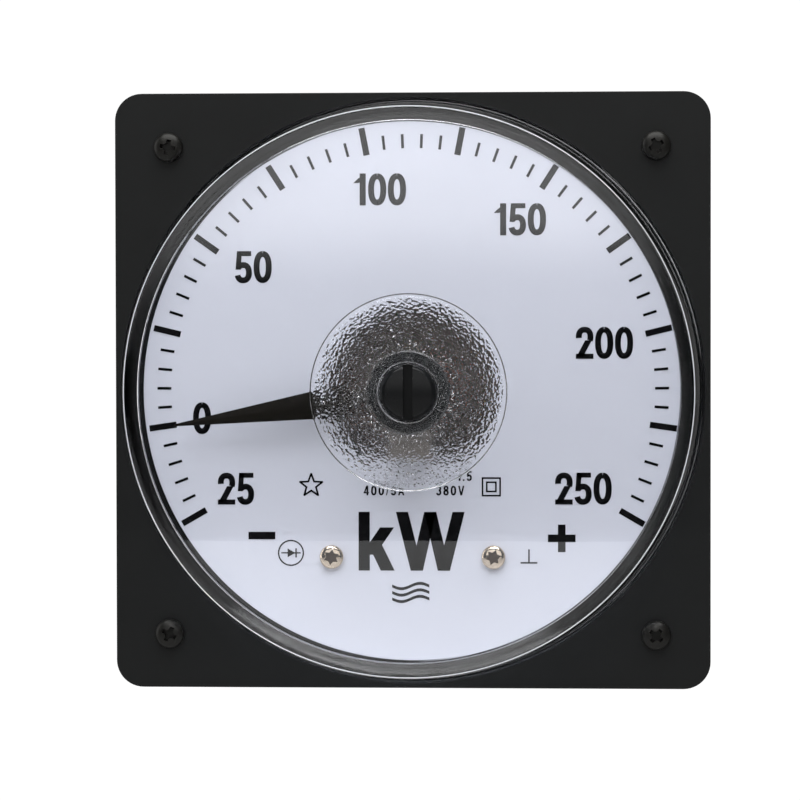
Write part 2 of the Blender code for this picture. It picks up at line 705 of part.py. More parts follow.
def make_magnet_system(parent):
    """Yoke, ring core and magnet."""
    yoke = adopt("pole_yoke", rod(YOKE_OUTER, POLE_REAR, POLE_FRONT, steps=WIDE), SOFT_IRON, parent)
    join(yoke, box((-LEG_OUTER, BAR_BOTTOM, POLE_REAR), (LEG_OUTER, -YOKE_INNER, POLE_FRONT)))
    cut(yoke, rod(YOKE_INNER, POLE_REAR - MM, POLE_FRONT + MM, steps=WIDE),
        box((-LEG_INNER, BAR_TOP, POLE_REAR - MM), (LEG_INNER, -CORE_INNER, POLE_FRONT + MM)))
    for side in (-1, 1):
        cut(yoke, rod(SCREW_HOLE, POLE_FRONT - 7 * MM, POLE_FRONT + MM,
                      (side * YOKE_SCREW_X, YOKE_SCREW_Y), 12))
    core = adopt("pole_core", rod(CORE_OUTER, POLE_REAR, POLE_FRONT, steps=WIDE), SOFT_IRON, parent)
    join(core, box((-TAIL_WIDTH / 2, -TAIL_END, POLE_REAR), (TAIL_WIDTH / 2, -CORE_INNER, POLE_FRONT)))
    cut(core, rod(CORE_INNER, POLE_REAR - MM, POLE_FRONT + MM, steps=WIDE))
    slit = TAIL_WIDTH / 2 + MM
    cut(core, box((slit, -CORE_OUTER, POLE_REAR - MM), (slit + SLIT_WIDTH, 0.0, POLE_FRONT + MM)),
        rod(SCREW_HOLE, POLE_REAR - MM, POLE_FRONT + MM, (0, BRIDGE_SCREW_Y), 12))
    magnet = box((-MAGNET_WIDTH / 2, MAGNET_BOTTOM, POLE_REAR), (MAGNET_WIDTH / 2, MAGNET_TOP, POLE_FRONT))
    adopt("magnet", magnet, MAGNET_GREY, parent)


def make_bridge(name, parent, strap_low, strap_high, foot_low, foot_high):
    """A bridge: a strap over the axis, a riser and a foot on the core's tail."""
    half = STRAP_WIDTH / 2
    strap = flat([strap_outline(half, half, RISER_OUTER), circle(JEWEL_RADIUS + GAP)],
                 strap_low, strap_high)
    bridge = adopt(name, strap, ALUMINIUM, parent)
    low = min(strap_low, foot_low)
    high = max(strap_high, foot_high)
    join(bridge, box((-half, -RISER_OUTER, low), (half, -RISER_INNER, high)),
         box((-half, -FOOT_END, foot_low), (half, -RISER_INNER, foot_high)))
    cut(bridge, rod(SCREW_HOLE, foot_low - MM, foot_high + MM, (0, BRIDGE_SCREW_Y), 12))


def make_bridges(parent):
    """Both bridges with their screws and jewel screws."""
    make_bridge("front_bridge", parent, STRAP_REAR, STRAP_FRONT,
                POLE_FRONT + GAP, POLE_FRONT + GAP + FOOT_THICKNESS)
    make_bridge("rear_bridge", parent, REAR_STRAP_BACK, REAR_STRAP_FRONT,
                REAR_FOOT_FACE, POLE_REAR - GAP)
    screw = pan_screw(1.7 * MM, 0.75 * MM, SCREW_RADIUS, 4.5 * MM, parent, cross=False)
    copies("bridge_screw", screw, BRASS, parent,
           [(0, BRIDGE_SCREW_Y, POLE_FRONT + GAP + FOOT_THICKNESS + GAP, 0),
            (0, BRIDGE_SCREW_Y, REAR_FOOT_FACE - GAP, 180)])
    for name, tip, end in (("front_jewel_screw", JEWEL_REAR, JEWEL_FRONT),
                           ("rear_jewel_screw", REAR_JEWEL_TIP, REAR_STRAP_BACK - 1.5 * MM)):
        low, high = min(tip, end), max(tip, end)
        jewel = adopt(name, rod(JEWEL_RADIUS, low, high), BRASS, parent)
        depth = 0.8 * MM * (1 if end > tip else -1)
        slot_low, slot_high = sorted((end - depth, end + depth))
        cut(jewel, box((-0.3 * MM, -2 * MM, slot_low), (0.3 * MM, 2 * MM, slot_high)))


def make_moving_element(parent):
    """Everything that swings with the pointer, drawn pointing up."""
    cone = SHAFT_RADIUS * 0.2
    shaft = turned([(0.0, SHAFT_FRONT), (cone, SHAFT_FRONT), (SHAFT_RADIUS, SHAFT_FRONT - PIVOT_LENGTH),
                    (SHAFT_RADIUS, SHAFT_REAR + PIVOT_LENGTH), (cone, SHAFT_REAR), (0.0, SHAFT_REAR)], NARROW)
    adopt("shaft", shaft, ZINC, parent)
    bore = SHAFT_RADIUS + GAP
    half = POINTER_THICKNESS / 2
    hub_low, hub_step = POINTER_LEVEL - half - 0.5 * MM, POINTER_LEVEL + half + 0.4 * MM
    collet_top = SPRING_LEVEL + SPRING_WIDTH / 2
    hub = turned([(COLLET_RADIUS, collet_top), (COLLET_RADIUS, hub_step), (HUB_RADIUS, hub_step),
                  (HUB_RADIUS, hub_low), (bore, hub_low), (bore, collet_top)], NARROW, closed=True)
    adopt("pointer_hub", hub, BRASS, parent)
    pointer = adopt("pointer", flat([pointer_outline()], POINTER_LEVEL - half, POINTER_LEVEL + half),
                    POINTER_BLACK, parent)
    join(pointer, rod(HUB_RADIUS + 1.2 * MM, POINTER_LEVEL - half, POINTER_LEVEL + half))
    cut(pointer, rod(HUB_RADIUS + GAP, POINTER_LEVEL - MM, POINTER_LEVEL + MM))
    weight_top = POINTER_LEVEL - half - GAP
    weight = rod(WEIGHT_RADIUS, weight_top - WEIGHT_LENGTH, weight_top, (0, WEIGHT_RADIUS - TAIL_LENGTH))
    adopt("counterweight", weight, COPPER, parent)
    coil = adopt("moving_coil", box((-COIL_WIDTH / 2, COIL_INNER, COIL_REAR),
                                    (COIL_WIDTH / 2, COIL_OUTER, COIL_FRONT)), COPPER, parent)
    cut(coil, box((-COIL_WIDTH, COIL_INNER + COIL_WIRE, COIL_REAR + COIL_WIRE),
                  (COIL_WIDTH, COIL_OUTER - COIL_WIRE, COIL_FRONT - COIL_WIRE)))
    for name, low in (("coil_arm_front", COIL_FRONT + GAP), ("coil_arm_rear", COIL_REAR - GAP - COIL_ARM)):
        reach = COIL_INNER + 2 * COIL_WIRE
        arm = adopt(name, flat([strap_outline(ARM_WIDTH / 2, reach, 0.0)], low, low + COIL_ARM),
                    ALUMINIUM, parent)
        join(arm, rod(bore + MM, low, low + COIL_ARM))
        cut(arm, rod(bore, low - MM, low + MM))


def make_hairsprings(parent):
    """The two spirals, from their collets to their outer studs at the top."""
    turn = 360 * SPRING_TURNS
    front = spiral(SPRING_LEVEL, COLLET_RADIUS + 2 * GAP, SPRING_OUTER, SPRING_TURNS, -turn)
    thicken(adopt("front_hairspring", front, BRONZE, parent), SPRING_STRIP)
    rear = spiral(REAR_SPRING_LEVEL, SHAFT_RADIUS + 2 * GAP, SPRING_OUTER, SPRING_TURNS, -turn)
    for vertex in rear.vertices:
        vertex.co.x = -vertex.co.x
    rear.flip_normals()
    thicken(adopt("rear_hairspring", rear, BRONZE, parent), SPRING_STRIP)


def make_zero_gear(parent):
    """The slotted adjuster, its driver and the lever that carries the front hairspring."""
    seat = COVER_HEIGHT + HUB_RISE - 2.5 * MM + GAP
    rim = seat + ADJUSTER_HEAD
    profile = [(0.0, rim + ADJUSTER_DOME), (ADJUSTER_RADIUS * 0.5, rim + ADJUSTER_DOME * 0.75),
               (ADJUSTER_RADIUS * 0.85, rim + ADJUSTER_DOME * 0.3), (ADJUSTER_RADIUS, rim - 0.3 * MM),
               (ADJUSTER_RADIUS, seat), (STEM_RADIUS, seat), (STEM_RADIUS, DRIVER_REAR), (0.0, DRIVER_REAR)]
    screw = adopt("zero_adjuster_screw", turned(profile), BLACK_PLASTIC, parent)
    reach = ADJUSTER_RADIUS * 0.96
    half_slot = ADJUSTER_SLOT / 2
    cut(screw, box((-half_slot, -reach, rim - ADJUSTER_SLOT_DEPTH), (half_slot, reach, rim + MM)))
    driver = adopt("adjuster_driver", ring(DRIVER_RADIUS, STEM_RADIUS + GAP, DRIVER_REAR, DRIVER_FRONT),
                   BLACK_PLASTIC, parent)
    join(driver, rod(PIN_RADIUS, DRIVER_REAR - PIN_LENGTH, (DRIVER_REAR + DRIVER_FRONT) / 2,
                     (PIN_ORBIT, 0), 12))
    bottom, top = LEVER_REAR, LEVER_REAR + LEVER_THICKNESS
    lever = adopt("zero_lever", rod(JEWEL_RADIUS + 1.8 * MM, bottom, top, steps=24), BRASS, parent)
    tab_bottom = SPRING_LEVEL - SPRING_WIDTH / 2
    tab_inner = SPRING_OUTER + SPRING_STRIP / 2 + GAP
    join(lever, box((0.0, -1.6 * MM, bottom), (PIN_ORBIT + 1.4 * MM, 1.6 * MM, top)),
         box((-0.8 * MM, 0.0, bottom), (0.8 * MM, LEVER_REACH, top)),
         box((-0.8 * MM, tab_inner, tab_bottom), (0.8 * MM, LEVER_REACH, (bottom + top) / 2)))
    cut(lever, rod(JEWEL_RADIUS + GAP, bottom - MM, top + MM),
        box((PIN_ORBIT - PIN_RADIUS - GAP, -PIN_RADIUS - GAP, bottom - MM),
            (PIN_ORBIT + 3 * MM, PIN_RADIUS + GAP, top + MM)))


# ---------------------------------------------------------------------------------------
# Rear end
# ---------------------------------------------------------------------------------------

def make_rear(parent):
    """Terminals, circuit board, its components and the leads to the movement."""
    stud_hole = TERMINAL_RADIUS + GAP
    places = [(side * TERMINAL_X, 0.0) for side in (-1, 1)]
    outline = rectangle(-BOARD_WIDTH / 2, -BOARD_HEIGHT / 2, BOARD_WIDTH / 2, BOARD_HEIGHT / 2)
    board = flat([outline, *[circle(stud_hole, place) for place in places]], BOARD_REAR, BOARD_FRONT)
    adopt("circuit_board", board, BOARD_GREEN, parent)
    inner_front = BOARD_FRONT + GAP + NUT_HEIGHT
    stud_length = TERMINAL_PROUD - REAR_FACE + inner_front + MM
    stud = adopt("template", rod(TERMINAL_RADIUS, -stud_length, 0.0), None, parent)
    copies("terminal_stud", stud, BRASS, parent, [(x, y, inner_front + MM, 0) for x, y in places])
    washer_front = COLLAR_REAR - GAP
    washer = adopt("template", ring(WASHER_RADIUS, stud_hole, -WASHER_THICKNESS, 0.0), None, parent)
    copies("terminal_washer", washer, BRASS, parent, [(x, y, washer_front, 0) for x, y in places])
    nut = adopt("template", flat([hexagon(NUT_FLATS), circle(stud_hole)], -NUT_HEIGHT, 0.0), None, parent)
    nut_front = washer_front - WASHER_THICKNESS - GAP
    copies("terminal_nut", nut, BRASS, parent,
           [(x, y, nut_front, 0) for x, y in places] + [(x, y, inner_front, 0) for x, y in places])
    foot = BOARD_FRONT + GAP
    adopt("bridge_rectifier", box((-4 * MM, 7 * MM, foot), (4 * MM, 15 * MM, foot + 4 * MM)),
          BLACK_PLASTIC, parent)
    adopt("calibration_trimmer", box((-25 * MM, 7 * MM, foot), (-17 * MM, 15 * MM, foot + 5 * MM)),
          BLUE_PLASTIC, parent)
    resistor = adopt("series_resistor", box((14 * MM, 9 * MM, foot), (25 * MM, 13 * MM, foot + 4 * MM)),
                     CERAMIC, parent)
    bevel = resistor.modifiers.new("edges", "BEVEL")
    bevel.width = 0.6 * MM
    bevel.segments = 2
    start = foot
    lead("lead_positive", [(6 * MM, -12 * MM, start), (6 * MM, -13 * MM, start + 5 * MM),
                           (7 * MM, -19 * MM, (start + REAR_FOOT_FACE) / 2),
                           (4 * MM, -17 * MM, REAR_FOOT_FACE - 5 * MM),
                           (3 * MM, BRIDGE_SCREW_Y, REAR_FOOT_FACE - GAP)], RED_LEAD, parent)
    lead("lead_negative", [(-6 * MM, -12 * MM, start), (-7 * MM, -13 * MM, start + 5 * MM),
                           (-18 * MM, -22 * MM, (start + POLE_REAR) / 2),
                           (-24 * MM, -18 * MM, POLE_REAR),
                           (-24 * MM, -16 * MM, CHASSIS_REAR - GAP)], BLACK_PLASTIC, parent)


def main():
    """Build the meter in its drafting frame and stand it up."""
    frame = bpy.data.objects.new("meter_axis", None)
    METER.objects.link(frame)
    frame.rotation_euler = (math.radians(90), 0, 0)
    swing = bpy.data.objects.new("pointer_axis", None)
    METER.objects.link(swing)
    swing.parent = frame
    swing.rotation_euler = (0, 0, -math.radians(REST_ANGLE))
    make_case(frame)
    make_frame(frame)
    make_cover(frame)
    make_fixings(frame)
    make_dial(frame)
    make_magnet_system(frame)
    make_bridges(frame)
    make_moving_element(swing)
    make_hairsprings(frame)
    make_zero_gear(frame)
    make_rear(frame)


main()
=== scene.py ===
"""A square panel meter with a 240 degree kilowatt dial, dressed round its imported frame.

The meter faces -Y with +Z up, and the dial's axis is the Y axis. A place along Y is called a
depth, and the front has the lowest one. Angles on the dial are degrees clockwise from its top,
seen from the front.
"""

import json
import logging
import math
from contextlib import contextmanager
from dataclasses import dataclass, field
from enum import Enum
from typing import Callable, Iterator, Sequence

import bmesh
import bpy
from mathutils import Matrix, Vector


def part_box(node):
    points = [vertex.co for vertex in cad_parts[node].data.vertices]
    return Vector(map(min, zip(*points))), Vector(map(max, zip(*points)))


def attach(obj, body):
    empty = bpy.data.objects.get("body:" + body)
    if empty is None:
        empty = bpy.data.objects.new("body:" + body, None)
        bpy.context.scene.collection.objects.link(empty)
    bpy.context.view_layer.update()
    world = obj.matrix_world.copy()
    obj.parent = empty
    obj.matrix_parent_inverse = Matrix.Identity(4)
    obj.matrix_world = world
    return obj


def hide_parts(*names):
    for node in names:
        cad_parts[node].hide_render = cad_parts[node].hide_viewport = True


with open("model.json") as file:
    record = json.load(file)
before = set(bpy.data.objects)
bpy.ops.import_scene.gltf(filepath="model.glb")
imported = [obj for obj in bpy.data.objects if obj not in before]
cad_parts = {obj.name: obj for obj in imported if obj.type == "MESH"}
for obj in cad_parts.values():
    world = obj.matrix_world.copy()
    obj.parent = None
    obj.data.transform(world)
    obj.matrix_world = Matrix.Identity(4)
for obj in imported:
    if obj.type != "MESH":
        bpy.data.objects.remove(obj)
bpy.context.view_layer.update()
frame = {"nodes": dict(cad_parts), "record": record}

LOG = logging.getLogger("panel_meter")
MM = 0.001
MICRON = 0.000001

Point = tuple[float, float]
Size = tuple[float, float, float]
Object = bpy.types.Object
Material = bpy.types.Material
Tree = bpy.types.NodeTree
Node = bpy.types.Node
Socket = bpy.types.NodeSocket
Cage = bmesh.types.BMesh


class Body(Enum):
    """The four bodies that a piece can ride on."""

    ROOT = "root"
    ADJUSTER = "zero_adjuster"
    LEVER = "zero_lever"
    MOVEMENT = "moving_element"


# --- Modelling ---

def deselect() -> None:
    """Leaves nothing selected."""
    for piece in bpy.context.selected_objects:
        piece.select_set(False)


def take(piece: Object) -> None:
    """Makes a piece the only one selected, and the active one."""
    deselect()
    piece.select_set(True)
    bpy.context.view_layer.objects.active = piece


def settle(name: str) -> Object:
    """Names the object just added, puts its place into its mesh, and returns it."""
    piece = bpy.context.object
    piece.name = name
    piece.data.name = name
    bpy.ops.object.transform_apply(location=True, rotation=True, scale=True)
    return piece


def span(node: str) -> tuple[Vector, Vector, float, float]:
    """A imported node's low and high corners, and its middle in x and z."""
    low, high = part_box(node)
    return low, high, (low.x + high.x) / 2, (low.z + high.z) / 2


def link_new(name: str, data: bpy.types.ID) -> Object:
    """Puts some data into the scene as a new object."""
    made = bpy.data.objects.new(name, data)
    bpy.context.scene.collection.objects.link(made)
    return made


@contextmanager
def editing(piece: Object, kind: str = "FACE") -> Iterator[Cage]:
    """Opens a piece in edit mode for as long as the block lasts.

    Args:
        piece: The mesh object.
        kind: What is selected: VERT, EDGE or FACE.

    Yields:
        The edit mesh.
    """
    take(piece)
    bpy.ops.object.mode_set(mode="EDIT")
    bpy.ops.mesh.select_mode(type=kind)
    yield bmesh.from_edit_mesh(piece.data)
    bpy.ops.object.mode_set(mode="OBJECT")


def pick_faces(cage: Cage, test: Callable[[Vector, Vector], bool]) -> None:
    """Selects only the faces whose centre and normal pass a test.

    Args:
        cage: The edit mesh.
        test: Takes a face's centre and normal.
    """
    bpy.ops.mesh.select_all(action="DESELECT")
    for face in cage.faces:
        face.select_set(test(face.calc_center_median(), face.normal))


def pick_edges(cage: Cage, test: Callable[[Vector, Vector], bool]) -> None:
    """Selects only the edges whose ends pass a test.

    Args:
        cage: The edit mesh.
        test: Takes the edge's two ends.
    """
    bpy.ops.mesh.select_all(action="DESELECT")
    for edge in cage.edges:
        edge.select_set(test(edge.verts[0].co, edge.verts[1].co))


def modify(piece: Object, kind: str, **settings: object) -> None:
    """Adds a modifier to a piece and applies it.

    Args:
        piece: The piece.
        kind: The modifier's type.
        **settings: Its settings.
    """
    modifier = piece.modifiers.new(kind, kind)
    for name, value in settings.items():
        setattr(modifier, name, value)
    take(piece)
    bpy.ops.object.modifier_apply(modifier=modifier.name)


def cut(piece: Object, tool: Object, operation: str = "DIFFERENCE") -> None:
    """Cuts a piece with a tool, or joins or intersects them, and uses the tool up.

    Args:
        piece: The piece that stays.
        tool: The other solid.
        operation: DIFFERENCE, UNION or INTERSECT.
    """
    modify(piece, "BOOLEAN", object=tool, operation=operation, solver="EXACT")
    bpy.data.objects.remove(tool)


def merge(pieces: Sequence[Object], name: str) -> Object:
    """Joins separate solids into one object.

    Args:
        pieces: The solids.
        name: The object's name.

    Returns:
        The object.
    """
    take(pieces[0])
    for piece in pieces[1:]:
        piece.select_set(True)
    bpy.ops.object.join()
    pieces[0].name = name
    pieces[0].data.name = name
    return pieces[0]


def smooth(piece: Object, angle: float = 35.0) -> Object:
    """Shades a piece smooth wherever its faces meet at less than an angle, and returns it."""
    take(piece)
    bpy.ops.object.shade_smooth_by_angle(angle=math.radians(angle))
    return piece


def round_edges(piece: Object, width: float, segments: int = 3, angle: float = 35.0) -> Object:
    """Rounds a piece's sharp edges and shades it.

    Args:
        piece: The piece.
        width: How far the rounding reaches from an edge.
        segments: Faces across the rounding.
        angle: Only edges sharper than this, in degrees, are rounded.

    Returns:
        The piece.
    """
    smooth(piece, angle)
    modify(piece, "BEVEL", width=width, segments=segments, limit_method="ANGLE",
           angle_limit=math.radians(angle), use_clamp_overlap=True, harden_normals=True)
    return piece


def arc(centre: Point, radius: float, start: float, end: float, pieces: int) -> list[Point]:
    """Points along an arc of a profile, by degrees: 0 points outwards and -90 to the front."""
    middle, depth = centre
    angles = [math.radians(start + (end - start) * step / pieces) for step in range(pieces + 1)]
    return [(middle + radius * math.cos(angle), depth + radius * math.sin(angle)) for angle in angles]


def turn(name: str, profile: Sequence[Point], sides: int, closed: bool = False) -> Object:
    """Turns a profile about the Y axis by drawing one ring out of the last.

    Args:
        name: The piece's name.
        profile: Points as (radius, depth).
        sides: Flat sides on a full turn.
        closed: Whether the last ring joins the first. Otherwise flat discs close both ends.

    Returns:
        The piece.
    """
    deselect()
    radius, depth = profile[0]
    bpy.ops.mesh.primitive_circle_add(vertices=sides, radius=radius, location=(0, depth, 0),
                                      rotation=(math.pi / 2, 0, 0),
                                      fill_type="NOTHING" if closed else "NGON")
    piece = settle(name)
    rest = list(profile[1:]) + ([profile[0]] if closed else [])
    with editing(piece, "VERT"):
        bpy.ops.mesh.select_all(action="SELECT")
        for next_radius, next_depth in rest:
            bpy.ops.mesh.extrude_region_move(TRANSFORM_OT_translate={"value": (0, next_depth - depth, 0)})
            share = next_radius / radius
            bpy.ops.transform.resize(value=(share, 1, share), center_override=(0, 0, 0))
            radius, depth = next_radius, next_depth
        bpy.ops.mesh.select_all(action="SELECT")
        bpy.ops.mesh.remove_doubles(threshold=MICRON)
        bpy.ops.mesh.normals_make_consistent(inside=False)
    return piece


def block(name: str, low: Sequence[float], high: Sequence[float]) -> Object:
    """A box between two corners."""
    deselect()
    middle = [(a + b) / 2 for a, b in zip(low, high)]
    bpy.ops.mesh.primitive_cube_add(size=1, location=middle, scale=[b - a for a, b in zip(low, high)])
    return settle(name)


def rod(name: str, radius: float, front: float, rear: float, centre: Point = (0.0, 0.0),
        sides: int = 64) -> Object:
    """A cylinder along Y.

    Args:
        name: The piece's name.
        radius: Its radius.
        front: Its lower depth.
        rear: Its higher depth.
        centre: Its axis, as (x, z).
        sides: Flat sides on a full turn.

    Returns:
        The piece.
    """
    deselect()
    bpy.ops.mesh.primitive_cylinder_add(vertices=sides, radius=radius, depth=rear - front,
                                        location=(centre[0], (front + rear) / 2, centre[1]),
                                        rotation=(math.pi / 2, 0, 0))
    return settle(name)


def move(piece: Object, x: float = 0.0, y: float = 0.0, z: float = 0.0, spin: float = 0.0) -> Object:
    """Turns a piece clockwise about the Y axis by degrees, then shifts its mesh, and returns it."""
    piece.data.transform(Matrix.Translation((x, y, z)) @ Matrix.Rotation(math.radians(spin), 4, "Y"))
    return piece


def copy_of(piece: Object, name: str) -> Object:
    """A copy of a piece with its own mesh."""
    twin = piece.copy()
    twin.data = piece.data.copy()
    twin.name = name
    twin.data.name = name
    bpy.context.scene.collection.objects.link(twin)
    return twin


def deliver(piece: Object, slot: str, *nodes: str, body: Body = Body.ROOT,
            finish: "Finish | None" = None) -> None:
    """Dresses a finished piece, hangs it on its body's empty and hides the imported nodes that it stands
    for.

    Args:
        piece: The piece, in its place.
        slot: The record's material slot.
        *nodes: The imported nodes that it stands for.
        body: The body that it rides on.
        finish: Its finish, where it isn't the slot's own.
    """
    finish = finish or FINISHES[slot]
    piece.data.materials.clear()
    piece.data.materials.append(finish.material())
    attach(piece, body.value)
    if nodes:
        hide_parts(*nodes)
    LOG.info("%s: %d faces in %s", piece.name, len(piece.data.polygons), finish.label)


# --- Finishes ---

def linear(shade: str) -> tuple[float, float, float, float]:
    """The linear RGBA of an sRGB hex colour."""
    channels = [int(shade[place:place + 2], 16) / 255 for place in (0, 2, 4)]
    values = [c / 12.92 if c <= 0.04045 else ((c + 0.055) / 1.055) ** 2.4 for c in channels]
    return (*values, 1.0)


def blank_nodes(owner: bpy.types.ID) -> Tree:
    """Gives a material or a world an empty node tree."""
    owner.use_nodes = True
    owner.node_tree.nodes.clear()
    return owner.node_tree


def add_node(tree: Tree, kind: str, values: dict | None = None, links: dict | None = None,
             **settings: object) -> Node:
    """Adds a node to a tree.

    Args:
        tree: The node tree.
        kind: The shader node's type.
        values: Constants for its inputs, by name or number.
        links: Output sockets for its inputs, by name or number.
        **settings: The node's own options.

    Returns:
        The node.
    """
    node = tree.nodes.new("ShaderNode" + kind)
    for name, value in settings.items():
        setattr(node, name, value)
    for place, value in (values or {}).items():
        node.inputs[place].default_value = value
    for place, socket in (links or {}).items():
        tree.links.new(socket, node.inputs[place])
    return node


@dataclass(frozen=True)
class Finish:
    """A surface with two near shades that drift into each other, and a fine grain."""

    label: str
    shade: str
    second: str
    roughness: float
    wander: float = 0.06        # how far the roughness strays
    metallic: float = 0.0
    drift: float = 9.0          # mm, size of the patches of shade
    grain: float = 0.45         # mm
    relief: float = 6.0         # micrometres, depth of the grain
    gloss: float = 0.5          # reflectance, 0.5 is a usual plastic's

    def material(self) -> Material:
        """The finish's material, made once."""
        known = bpy.data.materials.get(self.label)
        if known:
            return known
        made = bpy.data.materials.new(self.label)
        tree = blank_nodes(made)
        place = add_node(tree, "TexCoord").outputs["Object"]
        shader = add_node(tree, "BsdfPrincipled",
                          {"Metallic": self.metallic, "Specular IOR Level": self.gloss})
        self.colour(tree, place, shader)
        self.surface(tree, place, shader)
        add_node(tree, "OutputMaterial", links={"Surface": self.outlet(tree, shader)})
        return made

    def colour(self, tree: Tree, place: Socket, shader: Node) -> None:
        """Lets the two shades drift into each other."""
        patches = add_node(tree, "TexNoise", {"Scale": 1 / (self.drift * MM), "Detail": 4.0},
                           {"Vector": place})
        mix = add_node(tree, "Mix", {6: linear(self.shade), 7: linear(self.second)},
                       {0: patches.outputs["Fac"]}, data_type="RGBA")
        tree.links.new(mix.outputs[2], shader.inputs["Base Color"])

    def surface(self, tree: Tree, place: Socket, shader: Node) -> None:
        """Gives the grain its relief, and lets the roughness follow it."""
        grain = add_node(tree, "TexNoise", {"Scale": 1 / (self.grain * MM), "Detail": 3.0},
                         {"Vector": self.grain_place(tree, place)})
        self.relieve(tree, grain.outputs["Fac"], shader)

    def grain_place(self, tree: Tree, place: Socket) -> Socket:
        """Where the grain is read; the plain finish reads it as it lies."""
        return place

    def relieve(self, tree: Tree, height: Socket, shader: Node) -> None:
        """Links a height to the shader's roughness and normal."""
        rough = add_node(tree, "MapRange",
                         {"To Min": self.roughness - self.wander, "To Max": self.roughness + self.wander},
                         {"Value": height})
        bump = add_node(tree, "Bump", {"Strength": 1.0, "Distance": self.relief * MICRON},
                        {"Height": height})
        tree.links.new(rough.outputs["Result"], shader.inputs["Roughness"])
        tree.links.new(bump.outputs["Normal"], shader.inputs["Normal"])

    def outlet(self, tree: Tree, shader: Node) -> Socket:
        """What reaches the material's output."""
        return shader.outputs["BSDF"]


@dataclass(frozen=True)
class Brushed(Finish):
    """A surface drawn or rubbed along one direction."""

    stretch: Size = (0.06, 1.0, 1.0)

    def grain_place(self, tree: Tree, place: Socket) -> Socket:
        """Draws the grain out along the brushing."""
        return add_node(tree, "Mapping", {"Scale": self.stretch}, {"Vector": place}).outputs[0]


@dataclass(frozen=True)
class Wound(Finish):
    """Enamelled wire laid side by side."""

    def surface(self, tree: Tree, place: Socket, shader: Node) -> None:
        """Raises one round ridge for each wire."""
        ridges = add_node(tree, "TexWave", {"Scale": 1 / (self.grain * MM), "Distortion": 0.4},
                          {"Vector": place}, wave_type="BANDS", bands_direction="DIAGONAL")
        self.relieve(tree, ridges.outputs["Fac"], shader)


@dataclass(frozen=True)
class Laminate(Finish):
    """Printed circuit laminate: solder mask over raised copper tracks."""

    def surface(self, tree: Tree, place: Socket, shader: Node) -> None:
        """Raises square-cornered tracks under the mask."""
        tracks = add_node(tree, "TexVoronoi", {"Scale": 1 / (self.grain * MM)}, {"Vector": place},
                          distance="MANHATTAN", feature="F1")
        self.relieve(tree, tracks.outputs["Distance"], shader)


@dataclass(frozen=True)
class Clear(Finish):
    """Clear moulded polycarbonate. Lamps reach through it without being bent."""

    ior: float = 1.58
    wave: float = 14.0          # mm, flow waves left by the mould
    haze_from: float = 48.9     # mm from the axis, where the turned marks in the side wall begin
    haze_depth: float = 14.0    # micrometres
    mark_size: float = 0.3      # mm, width of a turned mark

    def colour(self, tree: Tree, place: Socket, shader: Node) -> None:
        """Sets the clear shader's own constants."""
        for name, value in (("Base Color", linear(self.shade)), ("Transmission Weight", 1.0),
                            ("IOR", self.ior), ("Roughness", self.roughness)):
            shader.inputs[name].default_value = value

    def surface(self, tree: Tree, place: Socket, shader: Node) -> None:
        """Leaves the mould's long flow waves in the face and its turning marks in the side wall."""
        waves = add_node(tree, "TexNoise", {"Scale": 1 / (self.wave * MM), "Detail": 1.0},
                         {"Vector": place})
        bump = add_node(tree, "Bump", {"Strength": 1.0, "Distance": self.relief * MICRON},
                        {"Height": waves.outputs["Fac"]})
        axes = add_node(tree, "SeparateXYZ", links={0: place})
        flat = add_node(tree, "CombineXYZ", links={0: axes.outputs["X"], 2: axes.outputs["Z"]})
        reach = add_node(tree, "VectorMath", links={0: flat.outputs[0]}, operation="LENGTH")
        across = add_node(tree, "CombineXYZ", links={0: reach.outputs["Value"], 1: axes.outputs["Y"]})
        marks = add_node(tree, "TexNoise", {"Scale": 1 / (self.mark_size * MM), "Detail": 4.0},
                         {"Vector": across.outputs[0]})
        start, end = self.haze_from * MM, (self.haze_from + self.mark_size) * MM
        side = add_node(tree, "MapRange", {"From Min": start, "From Max": end},
                        {"Value": reach.outputs["Value"]})
        height = add_node(tree, "Math", operation="MULTIPLY",
                          links={0: marks.outputs["Fac"], 1: side.outputs["Result"]})
        turned = add_node(tree, "Bump", {"Strength": 1.0, "Distance": self.haze_depth * MICRON},
                          {"Height": height.outputs[0], "Normal": bump.outputs["Normal"]})
        tree.links.new(turned.outputs["Normal"], shader.inputs["Normal"])

    def outlet(self, tree: Tree, shader: Node) -> Socket:
        """Lets shadow rays straight through."""
        path = add_node(tree, "LightPath")
        through = add_node(tree, "BsdfTransparent", {"Color": linear(self.second)})
        mix = add_node(tree, "MixShader", links={
            0: path.outputs["Is Shadow Ray"], 1: shader.outputs["BSDF"], 2: through.outputs["BSDF"]})
        return mix.outputs["Shader"]


# Pale ring in the edge of the polished face: a painted highlight, a white line standing in for the light
# that the fillet catches.
PAINTED_EDGE_HIGHLIGHT = Finish("painted_edge_highlight", "eceef2", "c9ccd2", 0.4, drift=6.0, relief=2.0, grain=0.3)
# Screen-printed ink: black, flat, with a thin film's edge.
PRINTED_INK = Finish("screen_printed_ink", "070708", "0b0b0c", 0.6, relief=2.0, grain=0.2, gloss=0.08)
# Dark plug laid in a screw's recess: painted shade, dark brown with a broken gloss.
PAINTED_RECESS_SHADE = Finish("painted_recess_shade", "2a2018", "453528", 0.3, drift=0.5, relief=12.0, grain=0.3)

